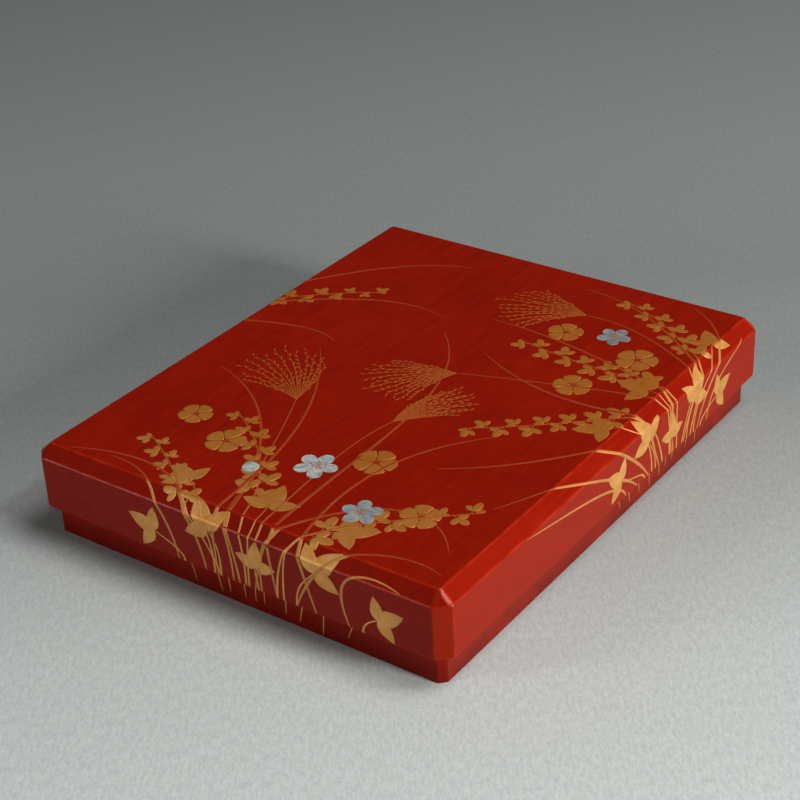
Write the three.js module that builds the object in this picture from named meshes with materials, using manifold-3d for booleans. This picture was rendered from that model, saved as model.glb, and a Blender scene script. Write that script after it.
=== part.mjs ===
// A flat, red-lacquered writing box: a chamfered lid that drops over a slightly smaller base,
// with an inkstone, a water dropper, two brushes and an ink stick in fitted trays inside.
// Units are millimetres, +Z is up, and the origin is the centre of the underside.
// +Y points to the back of the box and -Y to its short front wall.

import * as THREE from 'three';
import { mergeVertices } from 'three/addons/utils/BufferGeometryUtils.js';
import { ConvexGeometry } from 'three/addons/geometries/ConvexGeometry.js';
import Module from 'manifold-3d';

// Lid
const LID_WIDTH = 198;
const LID_LENGTH = 246;
const BOX_HEIGHT = 41.2; // table to the top of the lid
const LID_RIM_Z = 13.8; // table to the lower edge of the lid's walls
const LID_WALL = 4;
const LID_TOP = 5;
const TOP_CHAMFER_IN = 5.6; // how far the top chamfer runs in over the top
const TOP_CHAMFER_DOWN = 4.7; // how far it runs down, inside the top board's thickness
const CORNER_CUT = 5.3; // how far each upright corner facet runs along both walls
const LID_FINGERS = 5; // interlocking fingers at each corner of the lid

// Base
const LID_PLAY = 0.6; // all round, between the lid's walls and the base's walls
const LID_SEAT_GAP = 0.3; // between the lid's ceiling and the tops of the base's walls
const BASE_WALL = 4;
const BASE_FLOOR = 4.5;
const BASE_FINGERS = 7;
const FLOOR_RABBET = 2; // how far the floor board is let into the walls
const GLUE_LINE = 0.1; // round a board that is let in

// Mother-of-pearl inlays in the top of the lid
const PEARL_THICKNESS = 0.9;
const PEARL_PROUD = 0.15; // how far the shell stands above the lacquer
const PEARL_FIT = 0.2; // round and under each piece of shell in its pocket
const BLOSSOM_PETALS = 5;
const BLOSSOM_WAIST = 0.52; // radius between two petals, as a share of the tip radius
const PETAL_SHOULDER = 0.36; // how far along the turn to the next petal each shoulder lies
const BLOSSOM_RADII = [9, 8.2, 7.6];
const BLOSSOM_PLACES = [[91, 47], [57, 30], [45, 196]]; // in from the right side, and back from the front
const BLOSSOM_TURNS = [12, 40, 5]; // degrees
const BUD_RADIUS = 3.4;
const BUD_PLACE = [112, 33]; // the same way

// Trays along both long sides
const TRAY_PLAY = 0.5; // between a tray and what stands beside it
const TRAY_WIDTH = 41;
const TRAY_HEIGHT = 22;
const TRAY_WALL = 2.6;
const TRAY_FLOOR = 2.4;
const NOTCH_RADIUS = 10; // finger notch in each end of a tray
const NOTCH_DEPTH = 8;
const SEAT_GAP = 0.3; // under each piece that lifts out

// Inkstone and the board that frames it
const BOARD_THICKNESS = 8;
const STONE_WIDTH = 76;
const STONE_LENGTH = 130;
const STONE_HEIGHT = 16;
const STONE_FROM_FRONT = 17; // from the front of the board to the stone
const STONE_CORNER = 4;
const STONE_EDGE = 0.9; // rounding of the outer edges
const STONE_RIM = 5;
const STONE_FIT = 0.6; // round the stone and the dropper in the board
const LAND_DEPTH = 1.6; // the grinding surface lies this far below the rim
const WELL_DEPTH = 8.5;
const WELL_LENGTH = 26;
const SLOPE_LENGTH = 20;
const SLOPE_EASE = [0.55, 0.3]; // shares of the slope that ease out of the land and into the well
const FOOT_INSET = 9; // the underside is hollowed inside this border
const FOOT_HEIGHT = 1.2;

// Water dropper, shaped as a many-petalled flower
const DROPPER_RADIUS = 21;
const DROPPER_FOOT = 16.5; // radius of the foot that it stands on
const DROPPER_BELLY_Z = 8; // where it is widest
const DROPPER_CROWN_Z = 16.5; // where the petals meet the button
const DROPPER_WALL = 1.5;
const DROPPER_PETALS = 16;
const DROPPER_GROOVE = 0.08; // depth of the grooves between petals, as a share of the radius
const PETAL_STEPS = 6; // facets across one petal
const BUTTON_RADIUS = 3.6;
const BUTTON_HEIGHT = 2.4;
const SPOUT_RADIUS = 2.4;
const SPOUT_HEIGHT = 3.2; // above the crown
const SPOUT_OFFSET = 12.5; // from the dropper's axis
const WATER_HOLE = 1.1; // radius of the spout's bore and of the air hole in the button

// Brushes in the left tray
const BRUSH_END_ROOM = [5, 9]; // between each end of a brush and the tray's ends
const BRUSH_SHAFT_RADII = [4.2, 3.4];
const BRUSH_SPACING = 17;
const COLLAR_LENGTH = 12;
const COLLAR_EASE = 2; // length over which the collar swells and narrows
const COLLAR_SWELL = 0.8; // how much thicker the collar and the finial are than the shaft
const HAIR_LENGTHS = [27, 22];
const FINIAL_LENGTH = 6;
// Each pair is a share of the shaft's radius and a share of the hair's length
const HAIR_SHAPE = [[0.86, 0], [1.02, 0.2], [0.98, 0.42], [0.74, 0.66], [0.36, 0.86], [0, 1]];
const FINIAL_TIP = 0.6; // radius of the finial's flat end, as a share of the shaft's
const BRUSH_TURNING = 24; // facets round a brush

// Ink stick in the right tray
const INK_WIDTH = 22;
const INK_HEIGHT = 9;
const INK_LENGTH = 94;
const INK_EDGE = 1;
const INK_PANEL_BORDER = 3;
const INK_PANEL_DEPTH = 0.6;
const INK_PANEL_CORNER = 2;
const INK_FROM_FRONT = 26; // from the tray's front end to the ink stick

const REACH = 5; // how far a cutting solid runs past what it cuts
const ARC_STEPS = 12; // facets in a quarter turn or a curve
const LEAST_CUT = 0.05; // a corner facet never closes altogether

// Worked out from the sizes above
const lidHalfWidth = LID_WIDTH / 2;
const lidHalfLength = LID_LENGTH / 2;
const ceilingZ = BOX_HEIGHT - LID_TOP;
const baseInset = LID_WALL + LID_PLAY;
const baseTopZ = ceilingZ - LID_SEAT_GAP;
const cavityInset = baseInset + BASE_WALL;
const cavityHalfWidth = lidHalfWidth - cavityInset;
const cavityHalfLength = lidHalfLength - cavityInset;
const seatZ = BASE_FLOOR + SEAT_GAP;
const trayOuterX = cavityHalfWidth - TRAY_PLAY;
const trayInnerX = trayOuterX - TRAY_WIDTH;
const trayCentreX = (trayOuterX + trayInnerX) / 2;
const trayHalfLength = cavityHalfLength - TRAY_PLAY;
const trayFloorZ = seatZ + TRAY_FLOOR;
const boardHalfWidth = trayInnerX - TRAY_PLAY;
const stoneCentreY = -trayHalfLength + STONE_FROM_FRONT + STONE_LENGTH / 2;
const dropperCentreY = (stoneCentreY + STONE_LENGTH / 2 + trayHalfLength) / 2;
const trayRoom = 2 * (trayHalfLength - TRAY_WALL); // between the insides of its ends
const inkCentreY = -trayRoom / 2 + INK_FROM_FRONT + INK_LENGTH / 2;

const wasm = await Module();
wasm.setup();

const lacquer = { color: 0x8c1408, roughness: 0.22, metalness: 0 };
const innerLacquer = { color: 0x1c1412, roughness: 0.25, metalness: 0 };
const shell = { color: 0xc4d4d6, roughness: 0.25, metalness: 0.1 };
const stone = { color: 0x2b2c2e, roughness: 0.7, metalness: 0 };
const bronze = { color: 0x8d6f45, roughness: 0.38, metalness: 0.9 };
const bamboo = { color: 0x9a6a3a, roughness: 0.4, metalness: 0 };
const horn = { color: 0x2a1c14, roughness: 0.3, metalness: 0 };
const hair = { color: 0xe4dac6, roughness: 0.8, metalness: 0 };
const ink = { color: 0x141414, roughness: 0.5, metalness: 0 };

/** Turns a closed three.js geometry into a solid that can be joined and cut. */
function solidOf(geometry) {
  const bare = geometry.clone();
  bare.deleteAttribute('normal');
  bare.deleteAttribute('uv');
  const merged = mergeVertices(bare, 1e-4);
  return new wasm.Manifold(new wasm.Mesh({
    numProp: 3,
    vertProperties: new Float32Array(merged.attributes.position.array),
    triVerts: new Uint32Array(merged.index.array),
  }));
}

/** Turns a solid back into a three.js geometry with flat faces. */
function geometryOf(solid) {
  const mesh = solid.getMesh();
  const indexed = new THREE.BufferGeometry();
  indexed.setAttribute('position', new THREE.BufferAttribute(mesh.vertProperties, 3));
  indexed.setIndex(new THREE.BufferAttribute(mesh.triVerts, 1));
  const flat = indexed.toNonIndexed();
  flat.computeVertexNormals();
  return flat;
}

/** A named mesh from a solid or a geometry. */
function piece(name, shape, look) {
  const geometry = shape.isBufferGeometry ? shape : geometryOf(shape);
  const mesh = new THREE.Mesh(geometry, new THREE.MeshStandardMaterial(look));
  mesh.name = name;
  return mesh;
}

/** An outline in the XY plane, raised from z = low to z = high. */
function prism(outline, low, high) {
  const geometry = new THREE.ExtrudeGeometry(outline, {
    depth: high - low,
    bevelEnabled: false,
    curveSegments: ARC_STEPS,
  });
  return solidOf(geometry.translate(0, 0, low));
}

/** A box between two corners. */
function block([x0, y0, z0], [x1, y1, z1]) {
  const geometry = new THREE.BoxGeometry(x1 - x0, y1 - y0, z1 - z0);
  return solidOf(geometry.translate((x0 + x1) / 2, (y0 + y1) / 2, (z0 + z1) / 2));
}

/** How long a corner facet is once its outline has been moved in evenly. */
function cutInside(cut, inset) {
  return Math.max(cut - inset * (2 - Math.SQRT2), LEAST_CUT);
}

/** The corners of a rectangle whose four corners are cut at 45 degrees, anticlockwise. */
function cutCorners(halfWidth, halfLength, cut) {
  const corners = [];
  for (const [sx, sy] of [[1, -1], [1, 1], [-1, 1], [-1, -1]]) {
    const onEnd = new THREE.Vector2(sx * (halfWidth - cut), sy * halfLength);
    const onSide = new THREE.Vector2(sx * halfWidth, sy * (halfLength - cut));
    corners.push(...(sx * sy < 0 ? [onEnd, onSide] : [onSide, onEnd]));
  }
  return corners;
}

/** The box's own outline, moved in evenly from the outside of the lid. */
function outlineAt(inset) {
  const cut = cutInside(CORNER_CUT, inset);
  return new THREE.Shape(cutCorners(lidHalfWidth - inset, lidHalfLength - inset, cut));
}

/** A rectangle with round corners, centred on a point. */
function roundedRectangle(halfWidth, halfLength, radius, centreY = 0, Outline = THREE.Shape) {
  const outline = new Outline();
  const x = halfWidth - radius;
  const y = halfLength - radius;
  outline.absarc(x, centreY - y, radius, -Math.PI / 2, 0);
  outline.absarc(x, centreY + y, radius, 0, Math.PI / 2);
  outline.absarc(-x, centreY + y, radius, Math.PI / 2, Math.PI);
  outline.absarc(-x, centreY - y, radius, Math.PI, 1.5 * Math.PI);
  outline.closePath();
  return outline;
}

/**
 * Four wall boards round the box, joined by interlocking fingers at the faceted corners.
 * The front and back boards own every other layer of each corner, and the sides own the rest.
 */
function wallBoards({ inset, thickness, bottom, top, fingers }) {
  const halfWidth = lidHalfWidth - inset;
  const halfLength = lidHalfLength - inset;
  const hollow = prism(outlineAt(inset + thickness), bottom - REACH, top + REACH);
  const ring = prism(outlineAt(inset), bottom, top).subtract(hollow);
  const corner = thickness + cutInside(CORNER_CUT, inset + thickness);
  const spanX = halfWidth - corner;
  const spanY = halfLength - corner;
  const layer = (top - bottom) / fingers;

  const farX = halfWidth + REACH;
  const farY = halfLength + REACH;

  let ends = block([-spanX, spanY, bottom - REACH], [spanX, farY, top + REACH]);
  let sides = block([spanX, -spanY, bottom - REACH], [farX, spanY, top + REACH]);
  for (let i = 0; i < fingers; i += 1) {
    const low = bottom + i * layer;
    const high = bottom + (i + 1) * layer;
    if (i % 2 === 0) {
      ends = ends.add(block([-farX, spanY, low], [farX, farY, high]));
    } else {
      sides = sides.add(block([spanX, -farY, low], [farX, farY, high]));
    }
  }
  return {
    back: ring.intersect(ends),
    front: ring.intersect(ends.mirror([0, 1, 0])),
    right: ring.intersect(sides),
    left: ring.intersect(sides.mirror([1, 0, 0])),
  };
}

/** A flower seen from above: petals with a soft point, drawn in between them. */
function blossomOutline(radius) {
  const outline = new THREE.Shape();
  const step = (2 * Math.PI) / BLOSSOM_PETALS;
  const shoulder = step * PETAL_SHOULDER;
  const at = (share, angle) => [radius * share * Math.cos(angle), radius * share * Math.sin(angle)];
  outline.moveTo(...at(BLOSSOM_WAIST, -step / 2));
  for (let i = 0; i < BLOSSOM_PETALS; i += 1) {
    const tip = i * step;
    outline.quadraticCurveTo(...at(1, tip - shoulder), ...at(1, tip));
    outline.quadraticCurveTo(...at(1, tip + shoulder), ...at(BLOSSOM_WAIST, tip + step / 2));
  }
  return outline;
}

/** One piece of shell and the pocket that it lies in. */
function pearl(outlineOf, radius, [fromRight, fromFront], turn) {
  const low = BOX_HEIGHT + PEARL_PROUD - PEARL_THICKNESS;
  const centre = [lidHalfWidth - fromRight, fromFront - lidHalfLength, 0];
  const place = (solid) => solid.rotate([0, 0, turn]).translate(centre);
  return {
    solid: place(prism(outlineOf(radius), low, BOX_HEIGHT + PEARL_PROUD)),
    pocket: place(prism(outlineOf(radius + PEARL_FIT), low - PEARL_FIT, BOX_HEIGHT + REACH)),
  };
}

/** A round outline for the bud. */
function roundOutline(radius) {
  return new THREE.Shape().absarc(0, 0, radius, 0, 2 * Math.PI);
}

/** The lid's top board, with its four sloping edges and the small triangles at its corners. */
function lidTopBoard(pockets) {
  const landZ = BOX_HEIGHT - TOP_CHAMFER_DOWN;
  const outline = cutCorners(lidHalfWidth, lidHalfLength, CORNER_CUT);
  const flatX = lidHalfWidth - TOP_CHAMFER_IN;
  const flatY = lidHalfLength - TOP_CHAMFER_IN;
  const points = [
    ...outline.map((p) => new THREE.Vector3(p.x, p.y, ceilingZ)),
    ...outline.map((p) => new THREE.Vector3(p.x, p.y, landZ)),
    ...[[1, 1], [1, -1], [-1, 1], [-1, -1]].map(
      ([sx, sy]) => new THREE.Vector3(sx * flatX, sy * flatY, BOX_HEIGHT),
    ),
  ];
  return pockets.reduce((board, pocket) => board.subtract(pocket), solidOf(new ConvexGeometry(points)));
}

/** The lid: a top board on four finger-jointed walls, inlaid with mother-of-pearl. */
function lid() {
  const group = new THREE.Group();
  const blossoms = BLOSSOM_RADII.map(
    (radius, i) => pearl(blossomOutline, radius, BLOSSOM_PLACES[i], BLOSSOM_TURNS[i]),
  );
  const bud = pearl(roundOutline, BUD_RADIUS, BUD_PLACE, 0);
  const pockets = [...blossoms, bud].map((inlay) => inlay.pocket);
  group.add(piece('lid_top_board', lidTopBoard(pockets), lacquer));
  blossoms.forEach((blossom, i) => group.add(piece(`pearl_blossom_${i + 1}`, blossom.solid, shell)));
  group.add(piece('pearl_bud', bud.solid, shell));
  const walls = wallBoards({
    inset: 0,
    thickness: LID_WALL,
    bottom: LID_RIM_Z,
    top: ceilingZ,
    fingers: LID_FINGERS,
  });
  for (const [side, solid] of Object.entries(walls)) {
    group.add(piece(`lid_${side}_wall`, solid, lacquer));
  }
  return group;
}

/** The base: a floor board let into four finger-jointed walls. */
function base() {
  const group = new THREE.Group();
  const walls = wallBoards({
    inset: baseInset,
    thickness: BASE_WALL,
    bottom: 0,
    top: baseTopZ,
    fingers: BASE_FINGERS,
  });
  const rabbetInset = cavityInset - FLOOR_RABBET;
  const rabbet = prism(outlineAt(rabbetInset), -REACH, BASE_FLOOR);
  for (const [side, solid] of Object.entries(walls)) {
    group.add(piece(`base_${side}_wall`, solid.subtract(rabbet), lacquer));
  }
  const floor = prism(outlineAt(rabbetInset + GLUE_LINE), 0, BASE_FLOOR);
  group.add(piece('base_floor_board', floor, innerLacquer));
  return group;
}

/** The end board of a tray, with the round notch that a fingertip lifts it by. */
function trayEnd(y, direction) {
  const halfWidth = TRAY_WIDTH / 2 - TRAY_WALL;
  const top = seatZ + TRAY_HEIGHT;
  const drop = NOTCH_RADIUS - NOTCH_DEPTH;
  const spread = Math.acos(drop / NOTCH_RADIUS);
  const outline = new THREE.Shape();
  outline.moveTo(-halfWidth, trayFloorZ);
  outline.lineTo(halfWidth, trayFloorZ);
  outline.lineTo(halfWidth, top);
  outline.absarc(0, top + drop, NOTCH_RADIUS, -Math.PI / 2 + spread, -Math.PI / 2 - spread, true);
  outline.lineTo(-halfWidth, top);
  outline.closePath();
  const geometry = new THREE.ExtrudeGeometry(outline, {
    depth: TRAY_WALL,
    bevelEnabled: false,
    curveSegments: ARC_STEPS,
  });
  const upright = new THREE.Matrix4().makeBasis(
    new THREE.Vector3(1, 0, 0),
    new THREE.Vector3(0, 0, 1),
    new THREE.Vector3(0, -1, 0),
  );
  geometry.applyMatrix4(upright);
  return solidOf(geometry.translate(0, y + (direction < 0 ? TRAY_WALL : 0), 0));
}

/** A long, shallow tray: a floor, two long sides and two notched ends. side is -1 for the left. */
function tray(name, side) {
  const group = new THREE.Group();
  const top = seatZ + TRAY_HEIGHT;
  const blank = prism(outlineAt(cavityInset + TRAY_PLAY), seatZ, top);
  const cutX = (x0, x1, z0, z1) => {
    const [low, high] = [Math.min(side * x0, side * x1), Math.max(side * x0, side * x1)];
    return blank.intersect(block([low, -lidHalfLength, z0], [high, lidHalfLength, z1]));
  };
  const outer = trayOuterX + TRAY_PLAY;
  group.add(piece(`${name}_floor`, cutX(trayInnerX, outer, seatZ - REACH, trayFloorZ), innerLacquer));
  const outerSide = cutX(trayOuterX - TRAY_WALL, outer, trayFloorZ, top + REACH);
  group.add(piece(`${name}_outer_side`, outerSide, innerLacquer));
  const innerSide = cutX(trayInnerX, trayInnerX + TRAY_WALL, trayFloorZ, top + REACH);
  group.add(piece(`${name}_inner_side`, innerSide, innerLacquer));
  const centre = side * trayCentreX;
  const back = trayEnd(trayHalfLength, 1).translate([centre, 0, 0]);
  group.add(piece(`${name}_back_end`, back, innerLacquer));
  const front = trayEnd(-trayHalfLength, -1).translate([centre, 0, 0]);
  group.add(piece(`${name}_front_end`, front, innerLacquer));
  return group;
}

/** The board that lies between the trays and frames the inkstone and the water dropper. */
function inkstoneBoard() {
  const outline = new THREE.Shape([
    new THREE.Vector2(-boardHalfWidth, -trayHalfLength),
    new THREE.Vector2(boardHalfWidth, -trayHalfLength),
    new THREE.Vector2(boardHalfWidth, trayHalfLength),
    new THREE.Vector2(-boardHalfWidth, trayHalfLength),
  ]);
  outline.holes.push(roundedRectangle(
    STONE_WIDTH / 2 + STONE_FIT,
    STONE_LENGTH / 2 + STONE_FIT,
    STONE_CORNER + STONE_FIT,
    stoneCentreY,
    THREE.Path,
  ));
  outline.holes.push(new THREE.Path().absarc(
    0,
    dropperCentreY,
    DROPPER_RADIUS + STONE_FIT,
    0,
    2 * Math.PI,
  ));
  const geometry = new THREE.ExtrudeGeometry(outline, {
    depth: BOARD_THICKNESS,
    bevelEnabled: false,
    curveSegments: ARC_STEPS,
  });
  return piece('inkstone_board', solidOf(geometry.translate(0, 0, seatZ)), innerLacquer);
}

/** What is carved out of the inkstone: a level land that slopes down into a deep well. */
function inkstoneHollow(top) {
  const near = -STONE_LENGTH / 2 + STONE_RIM;
  const far = STONE_LENGTH / 2 - STONE_RIM;
  const slopeEnd = far - WELL_LENGTH;
  const slopeStart = slopeEnd - SLOPE_LENGTH;
  const landZ = top - LAND_DEPTH;
  const wellZ = top - WELL_DEPTH;
  const profile = new THREE.Shape();
  profile.moveTo(near - REACH, landZ);
  profile.lineTo(slopeStart, landZ);
  profile.bezierCurveTo(
    slopeStart + SLOPE_LENGTH * SLOPE_EASE[0],
    landZ,
    slopeEnd - SLOPE_LENGTH * SLOPE_EASE[1],
    wellZ,
    slopeEnd,
    wellZ,
  );
  profile.lineTo(far + REACH, wellZ);
  profile.lineTo(far + REACH, top + REACH);
  profile.lineTo(near - REACH, top + REACH);
  profile.closePath();
  const geometry = new THREE.ExtrudeGeometry(profile, {
    depth: STONE_WIDTH,
    bevelEnabled: false,
    curveSegments: ARC_STEPS,
  });
  const acrossX = new THREE.Matrix4().makeBasis(
    new THREE.Vector3(0, 1, 0),
    new THREE.Vector3(0, 0, 1),
    new THREE.Vector3(1, 0, 0),
  );
  geometry.applyMatrix4(acrossX);
  const sweep = solidOf(geometry.translate(-STONE_WIDTH / 2, 0, 0));
  const inside = roundedRectangle(
    STONE_WIDTH / 2 - STONE_RIM,
    STONE_LENGTH / 2 - STONE_RIM,
    STONE_CORNER + STONE_RIM,
  );
  return sweep.intersect(prism(inside, wellZ - REACH, top + REACH));
}

/** The inkstone, with softened edges, a carved face and a foot round its underside. */
function inkstone() {
  const outline = roundedRectangle(STONE_WIDTH / 2, STONE_LENGTH / 2, STONE_CORNER);
  const geometry = new THREE.ExtrudeGeometry(outline, {
    depth: STONE_HEIGHT - 2 * STONE_EDGE,
    bevelEnabled: true,
    bevelThickness: STONE_EDGE,
    bevelSize: STONE_EDGE,
    bevelOffset: -STONE_EDGE,
    bevelSegments: 2,
    curveSegments: 8,
  });
  const blank = solidOf(geometry.translate(0, 0, STONE_EDGE));
  const underside = prism(
    roundedRectangle(STONE_WIDTH / 2 - FOOT_INSET, STONE_LENGTH / 2 - FOOT_INSET, STONE_CORNER),
    -REACH,
    FOOT_HEIGHT,
  );
  const carved = blank.subtract(inkstoneHollow(STONE_HEIGHT)).subtract(underside);
  return piece('inkstone', carved.translate([0, stoneCentreY, seatZ]), stone);
}

/** The dropper's outline as a series of points: out from its foot, over its belly to the crown. */
function dropperProfile() {
  const outline = new THREE.Path();
  outline.moveTo(DROPPER_FOOT, 0);
  outline.quadraticCurveTo(DROPPER_RADIUS, 0, DROPPER_RADIUS, DROPPER_BELLY_Z);
  outline.bezierCurveTo(
    DROPPER_RADIUS,
    DROPPER_CROWN_Z,
    DROPPER_FOOT,
    DROPPER_CROWN_Z,
    BUTTON_RADIUS,
    DROPPER_CROWN_Z + LEAST_CUT,
  );
  return outline.getPoints(6);
}

/** A closed skin of round rings with grooves between petals, through a profile's points. */
function petalledSkin(profile, grooveShare, petals, steps) {
  const positions = [0, 0, profile[0].y];
  for (const { x: radius, y: z } of profile) {
    for (let k = 0; k < petals * steps; k += 1) {
      const angle = (k / steps / petals) * 2 * Math.PI;
      const groove = 1 - Math.abs(Math.cos((angle * petals) / 2));
      const reach = radius * (1 - grooveShare * groove);
      positions.push(reach * Math.cos(angle), reach * Math.sin(angle), z);
    }
  }
  positions.push(0, 0, profile[profile.length - 1].y);
  const around = petals * steps;
  const lastRing = profile.length - 1;
  const lastPoint = positions.length / 3 - 1;
  const at = (ring, k) => 1 + ring * around + (k % around);
  const index = [];
  for (let k = 0; k < around; k += 1) {
    index.push(0, at(0, k + 1), at(0, k));
    for (let ring = 0; ring < lastRing; ring += 1) {
      index.push(at(ring, k), at(ring, k + 1), at(ring + 1, k + 1));
      index.push(at(ring, k), at(ring + 1, k + 1), at(ring + 1, k));
    }
    index.push(lastPoint, at(lastRing, k), at(lastRing, k + 1));
  }
  const geometry = new THREE.BufferGeometry();
  geometry.setAttribute('position', new THREE.Float32BufferAttribute(positions, 3));
  geometry.setIndex(index);
  return solidOf(geometry);
}

/** An upright rod from z = low to z = high at a distance along X. */
function rod(radius, low, high, x) {
  const geometry = new THREE.CylinderGeometry(radius, radius, high - low, 20);
  geometry.rotateX(Math.PI / 2);
  return solidOf(geometry.translate(x, 0, (low + high) / 2));
}

/** The water dropper: a hollow petalled body with an air hole in its button and a small spout. */
function waterDropper() {
  const profile = dropperProfile();
  const body = petalledSkin(profile, DROPPER_GROOVE, DROPPER_PETALS, PETAL_STEPS);
  const widest = DROPPER_RADIUS * (1 - DROPPER_GROOVE) - DROPPER_WALL;
  const tallest = DROPPER_CROWN_Z - 2 * DROPPER_WALL;
  const inside = profile.map((point) => new THREE.Vector2(
    (point.x * widest) / DROPPER_RADIUS,
    DROPPER_WALL + (point.y * tallest) / DROPPER_CROWN_Z,
  ));
  const hollow = petalledSkin(inside, 0, DROPPER_PETALS, 2);
  const buttonTop = DROPPER_CROWN_Z + BUTTON_HEIGHT;
  const spoutTop = DROPPER_CROWN_Z + SPOUT_HEIGHT;
  const dropper = body
    .add(rod(BUTTON_RADIUS, DROPPER_BELLY_Z, buttonTop, 0))
    .add(rod(SPOUT_RADIUS, DROPPER_BELLY_Z, spoutTop, SPOUT_OFFSET))
    .subtract(hollow)
    .subtract(rod(WATER_HOLE, DROPPER_BELLY_Z, buttonTop + REACH, 0))
    .subtract(rod(WATER_HOLE, DROPPER_BELLY_Z, spoutTop + REACH, SPOUT_OFFSET));
  return piece('water_dropper', dropper.translate([0, dropperCentreY, seatZ]), bronze);
}

/** A piece turned about the brush's axis, from pairs of radius and distance along it. */
function turned(profile) {
  const points = profile.map(([radius, along]) => new THREE.Vector2(radius, along));
  const geometry = new THREE.LatheGeometry(points, BRUSH_TURNING);
  return solidOf(geometry);
}

/** A brush lying along Y: finial, bamboo shaft, horn collar and a pointed tuft of hair. */
function brush(name, x, radius, hairLength, endRoom) {
  const group = new THREE.Group();
  const swollen = radius + COLLAR_SWELL;
  const whole = trayRoom - 2 * endRoom;
  const shaftEnd = whole - FINIAL_LENGTH - COLLAR_LENGTH - hairLength;
  const shaft = turned([
    [0, 0],
    [radius, 0],
    [radius, shaftEnd],
    [0, shaftEnd],
  ]);
  const collarEnd = shaftEnd + COLLAR_LENGTH;
  const collar = turned([
    [0, shaftEnd],
    [radius, shaftEnd],
    [swollen, shaftEnd + COLLAR_EASE],
    [swollen, collarEnd - COLLAR_EASE],
    [radius, collarEnd],
    [0, collarEnd],
  ]);
  const tuft = turned([
    [0, collarEnd],
    ...HAIR_SHAPE.map(([wide, along]) => [radius * wide, collarEnd + hairLength * along]),
  ]);
  const finial = turned([
    [0, -FINIAL_LENGTH],
    [radius * FINIAL_TIP, -FINIAL_LENGTH],
    [swollen, (-FINIAL_LENGTH * 2) / 3],
    [swollen, -FINIAL_LENGTH / 3],
    [radius, 0],
    [0, 0],
  ]);
  group.add(piece(`${name}_shaft`, shaft, bamboo));
  group.add(piece(`${name}_collar`, collar, horn));
  group.add(piece(`${name}_hair`, tuft, hair));
  group.add(piece(`${name}_finial`, finial, horn));
  group.position.set(x, FINIAL_LENGTH - whole / 2, trayFloorZ + SEAT_GAP + swollen);
  return group;
}

/** The ink stick: a bar with eased edges and a sunk panel along its upper face. */
function inkStick() {
  const outline = roundedRectangle(INK_WIDTH / 2, INK_LENGTH / 2, INK_EDGE * 2);
  const geometry = new THREE.ExtrudeGeometry(outline, {
    depth: INK_HEIGHT - 2 * INK_EDGE,
    bevelEnabled: true,
    bevelThickness: INK_EDGE,
    bevelSize: INK_EDGE,
    bevelOffset: -INK_EDGE,
    bevelSegments: 2,
    curveSegments: 6,
  });
  const bar = solidOf(geometry.translate(0, 0, INK_EDGE));
  const panel = prism(
    roundedRectangle(
      INK_WIDTH / 2 - INK_PANEL_BORDER,
      INK_LENGTH / 2 - INK_PANEL_BORDER,
      INK_PANEL_CORNER,
    ),
    INK_HEIGHT - INK_PANEL_DEPTH,
    INK_HEIGHT + REACH,
  );
  const place = [trayCentreX, inkCentreY, trayFloorZ + SEAT_GAP];
  return piece('ink_stick', bar.subtract(panel).translate(place), ink);
}

const writingBox = new THREE.Group();
writingBox.add(lid(), base());
writingBox.add(tray('left_tray', -1), tray('right_tray', 1));
writingBox.add(inkstoneBoard(), inkstone(), waterDropper(), inkStick());
['large_brush', 'small_brush'].forEach((name, i) => {
  const x = -trayCentreX + (i - 0.5) * BRUSH_SPACING;
  writingBox.add(brush(name, x, BRUSH_SHAFT_RADII[i], HAIR_LENGTHS[i], BRUSH_END_ROOM[i]));
});

export default writingBox;
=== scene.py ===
"""The looks of a flat red-lacquered writing box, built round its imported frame.

The lid and the base get seamless lacquered shells, because lacquer hides the joints between the
boards. Gold pictures lie on the lacquer as thin raised shapes. Lengths are in millimetres unless a
comment says otherwise, and become metres where they enter a mesh.
"""
import logging
import math
from dataclasses import dataclass, field
from enum import Enum
from typing import Any, Sequence

import bmesh
import bpy
import numpy as np
from mathutils import Matrix, Vector


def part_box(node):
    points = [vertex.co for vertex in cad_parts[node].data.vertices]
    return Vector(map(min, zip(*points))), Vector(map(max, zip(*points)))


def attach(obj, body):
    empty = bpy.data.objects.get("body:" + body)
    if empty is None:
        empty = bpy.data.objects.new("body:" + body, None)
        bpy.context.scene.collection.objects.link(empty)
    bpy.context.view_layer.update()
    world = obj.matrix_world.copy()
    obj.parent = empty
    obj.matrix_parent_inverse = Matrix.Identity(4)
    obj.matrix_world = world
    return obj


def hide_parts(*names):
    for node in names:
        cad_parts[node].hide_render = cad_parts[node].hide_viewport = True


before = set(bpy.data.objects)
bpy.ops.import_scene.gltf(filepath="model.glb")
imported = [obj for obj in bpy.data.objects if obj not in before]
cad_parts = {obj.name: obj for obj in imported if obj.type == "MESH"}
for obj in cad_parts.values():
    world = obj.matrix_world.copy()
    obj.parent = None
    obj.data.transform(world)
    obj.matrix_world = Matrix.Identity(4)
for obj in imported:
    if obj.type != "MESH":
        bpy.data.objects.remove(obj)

LOG = logging.getLogger("writing_box")
MM = 0.001  # a millimetre in metres
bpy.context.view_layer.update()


class Ware(Enum):
    """The record's material slots."""

    RED = "red_lacquer"
    BLACK = "black_lacquer"
    PEARL = "pearl_shell"
    SLATE = "ink_slate"
    BRONZE = "bronze"
    INK = "ink"
    BAMBOO = "bamboo"
    HORN = "horn"
    HAIR = "brush_hair"


# Sizes read from the frame

def span(node: str, axis: int) -> tuple[float, float]:
    """Lowest and highest place of a CAD node along one axis."""
    low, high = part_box(node)
    return low[axis] / MM, high[axis] / MM


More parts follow.
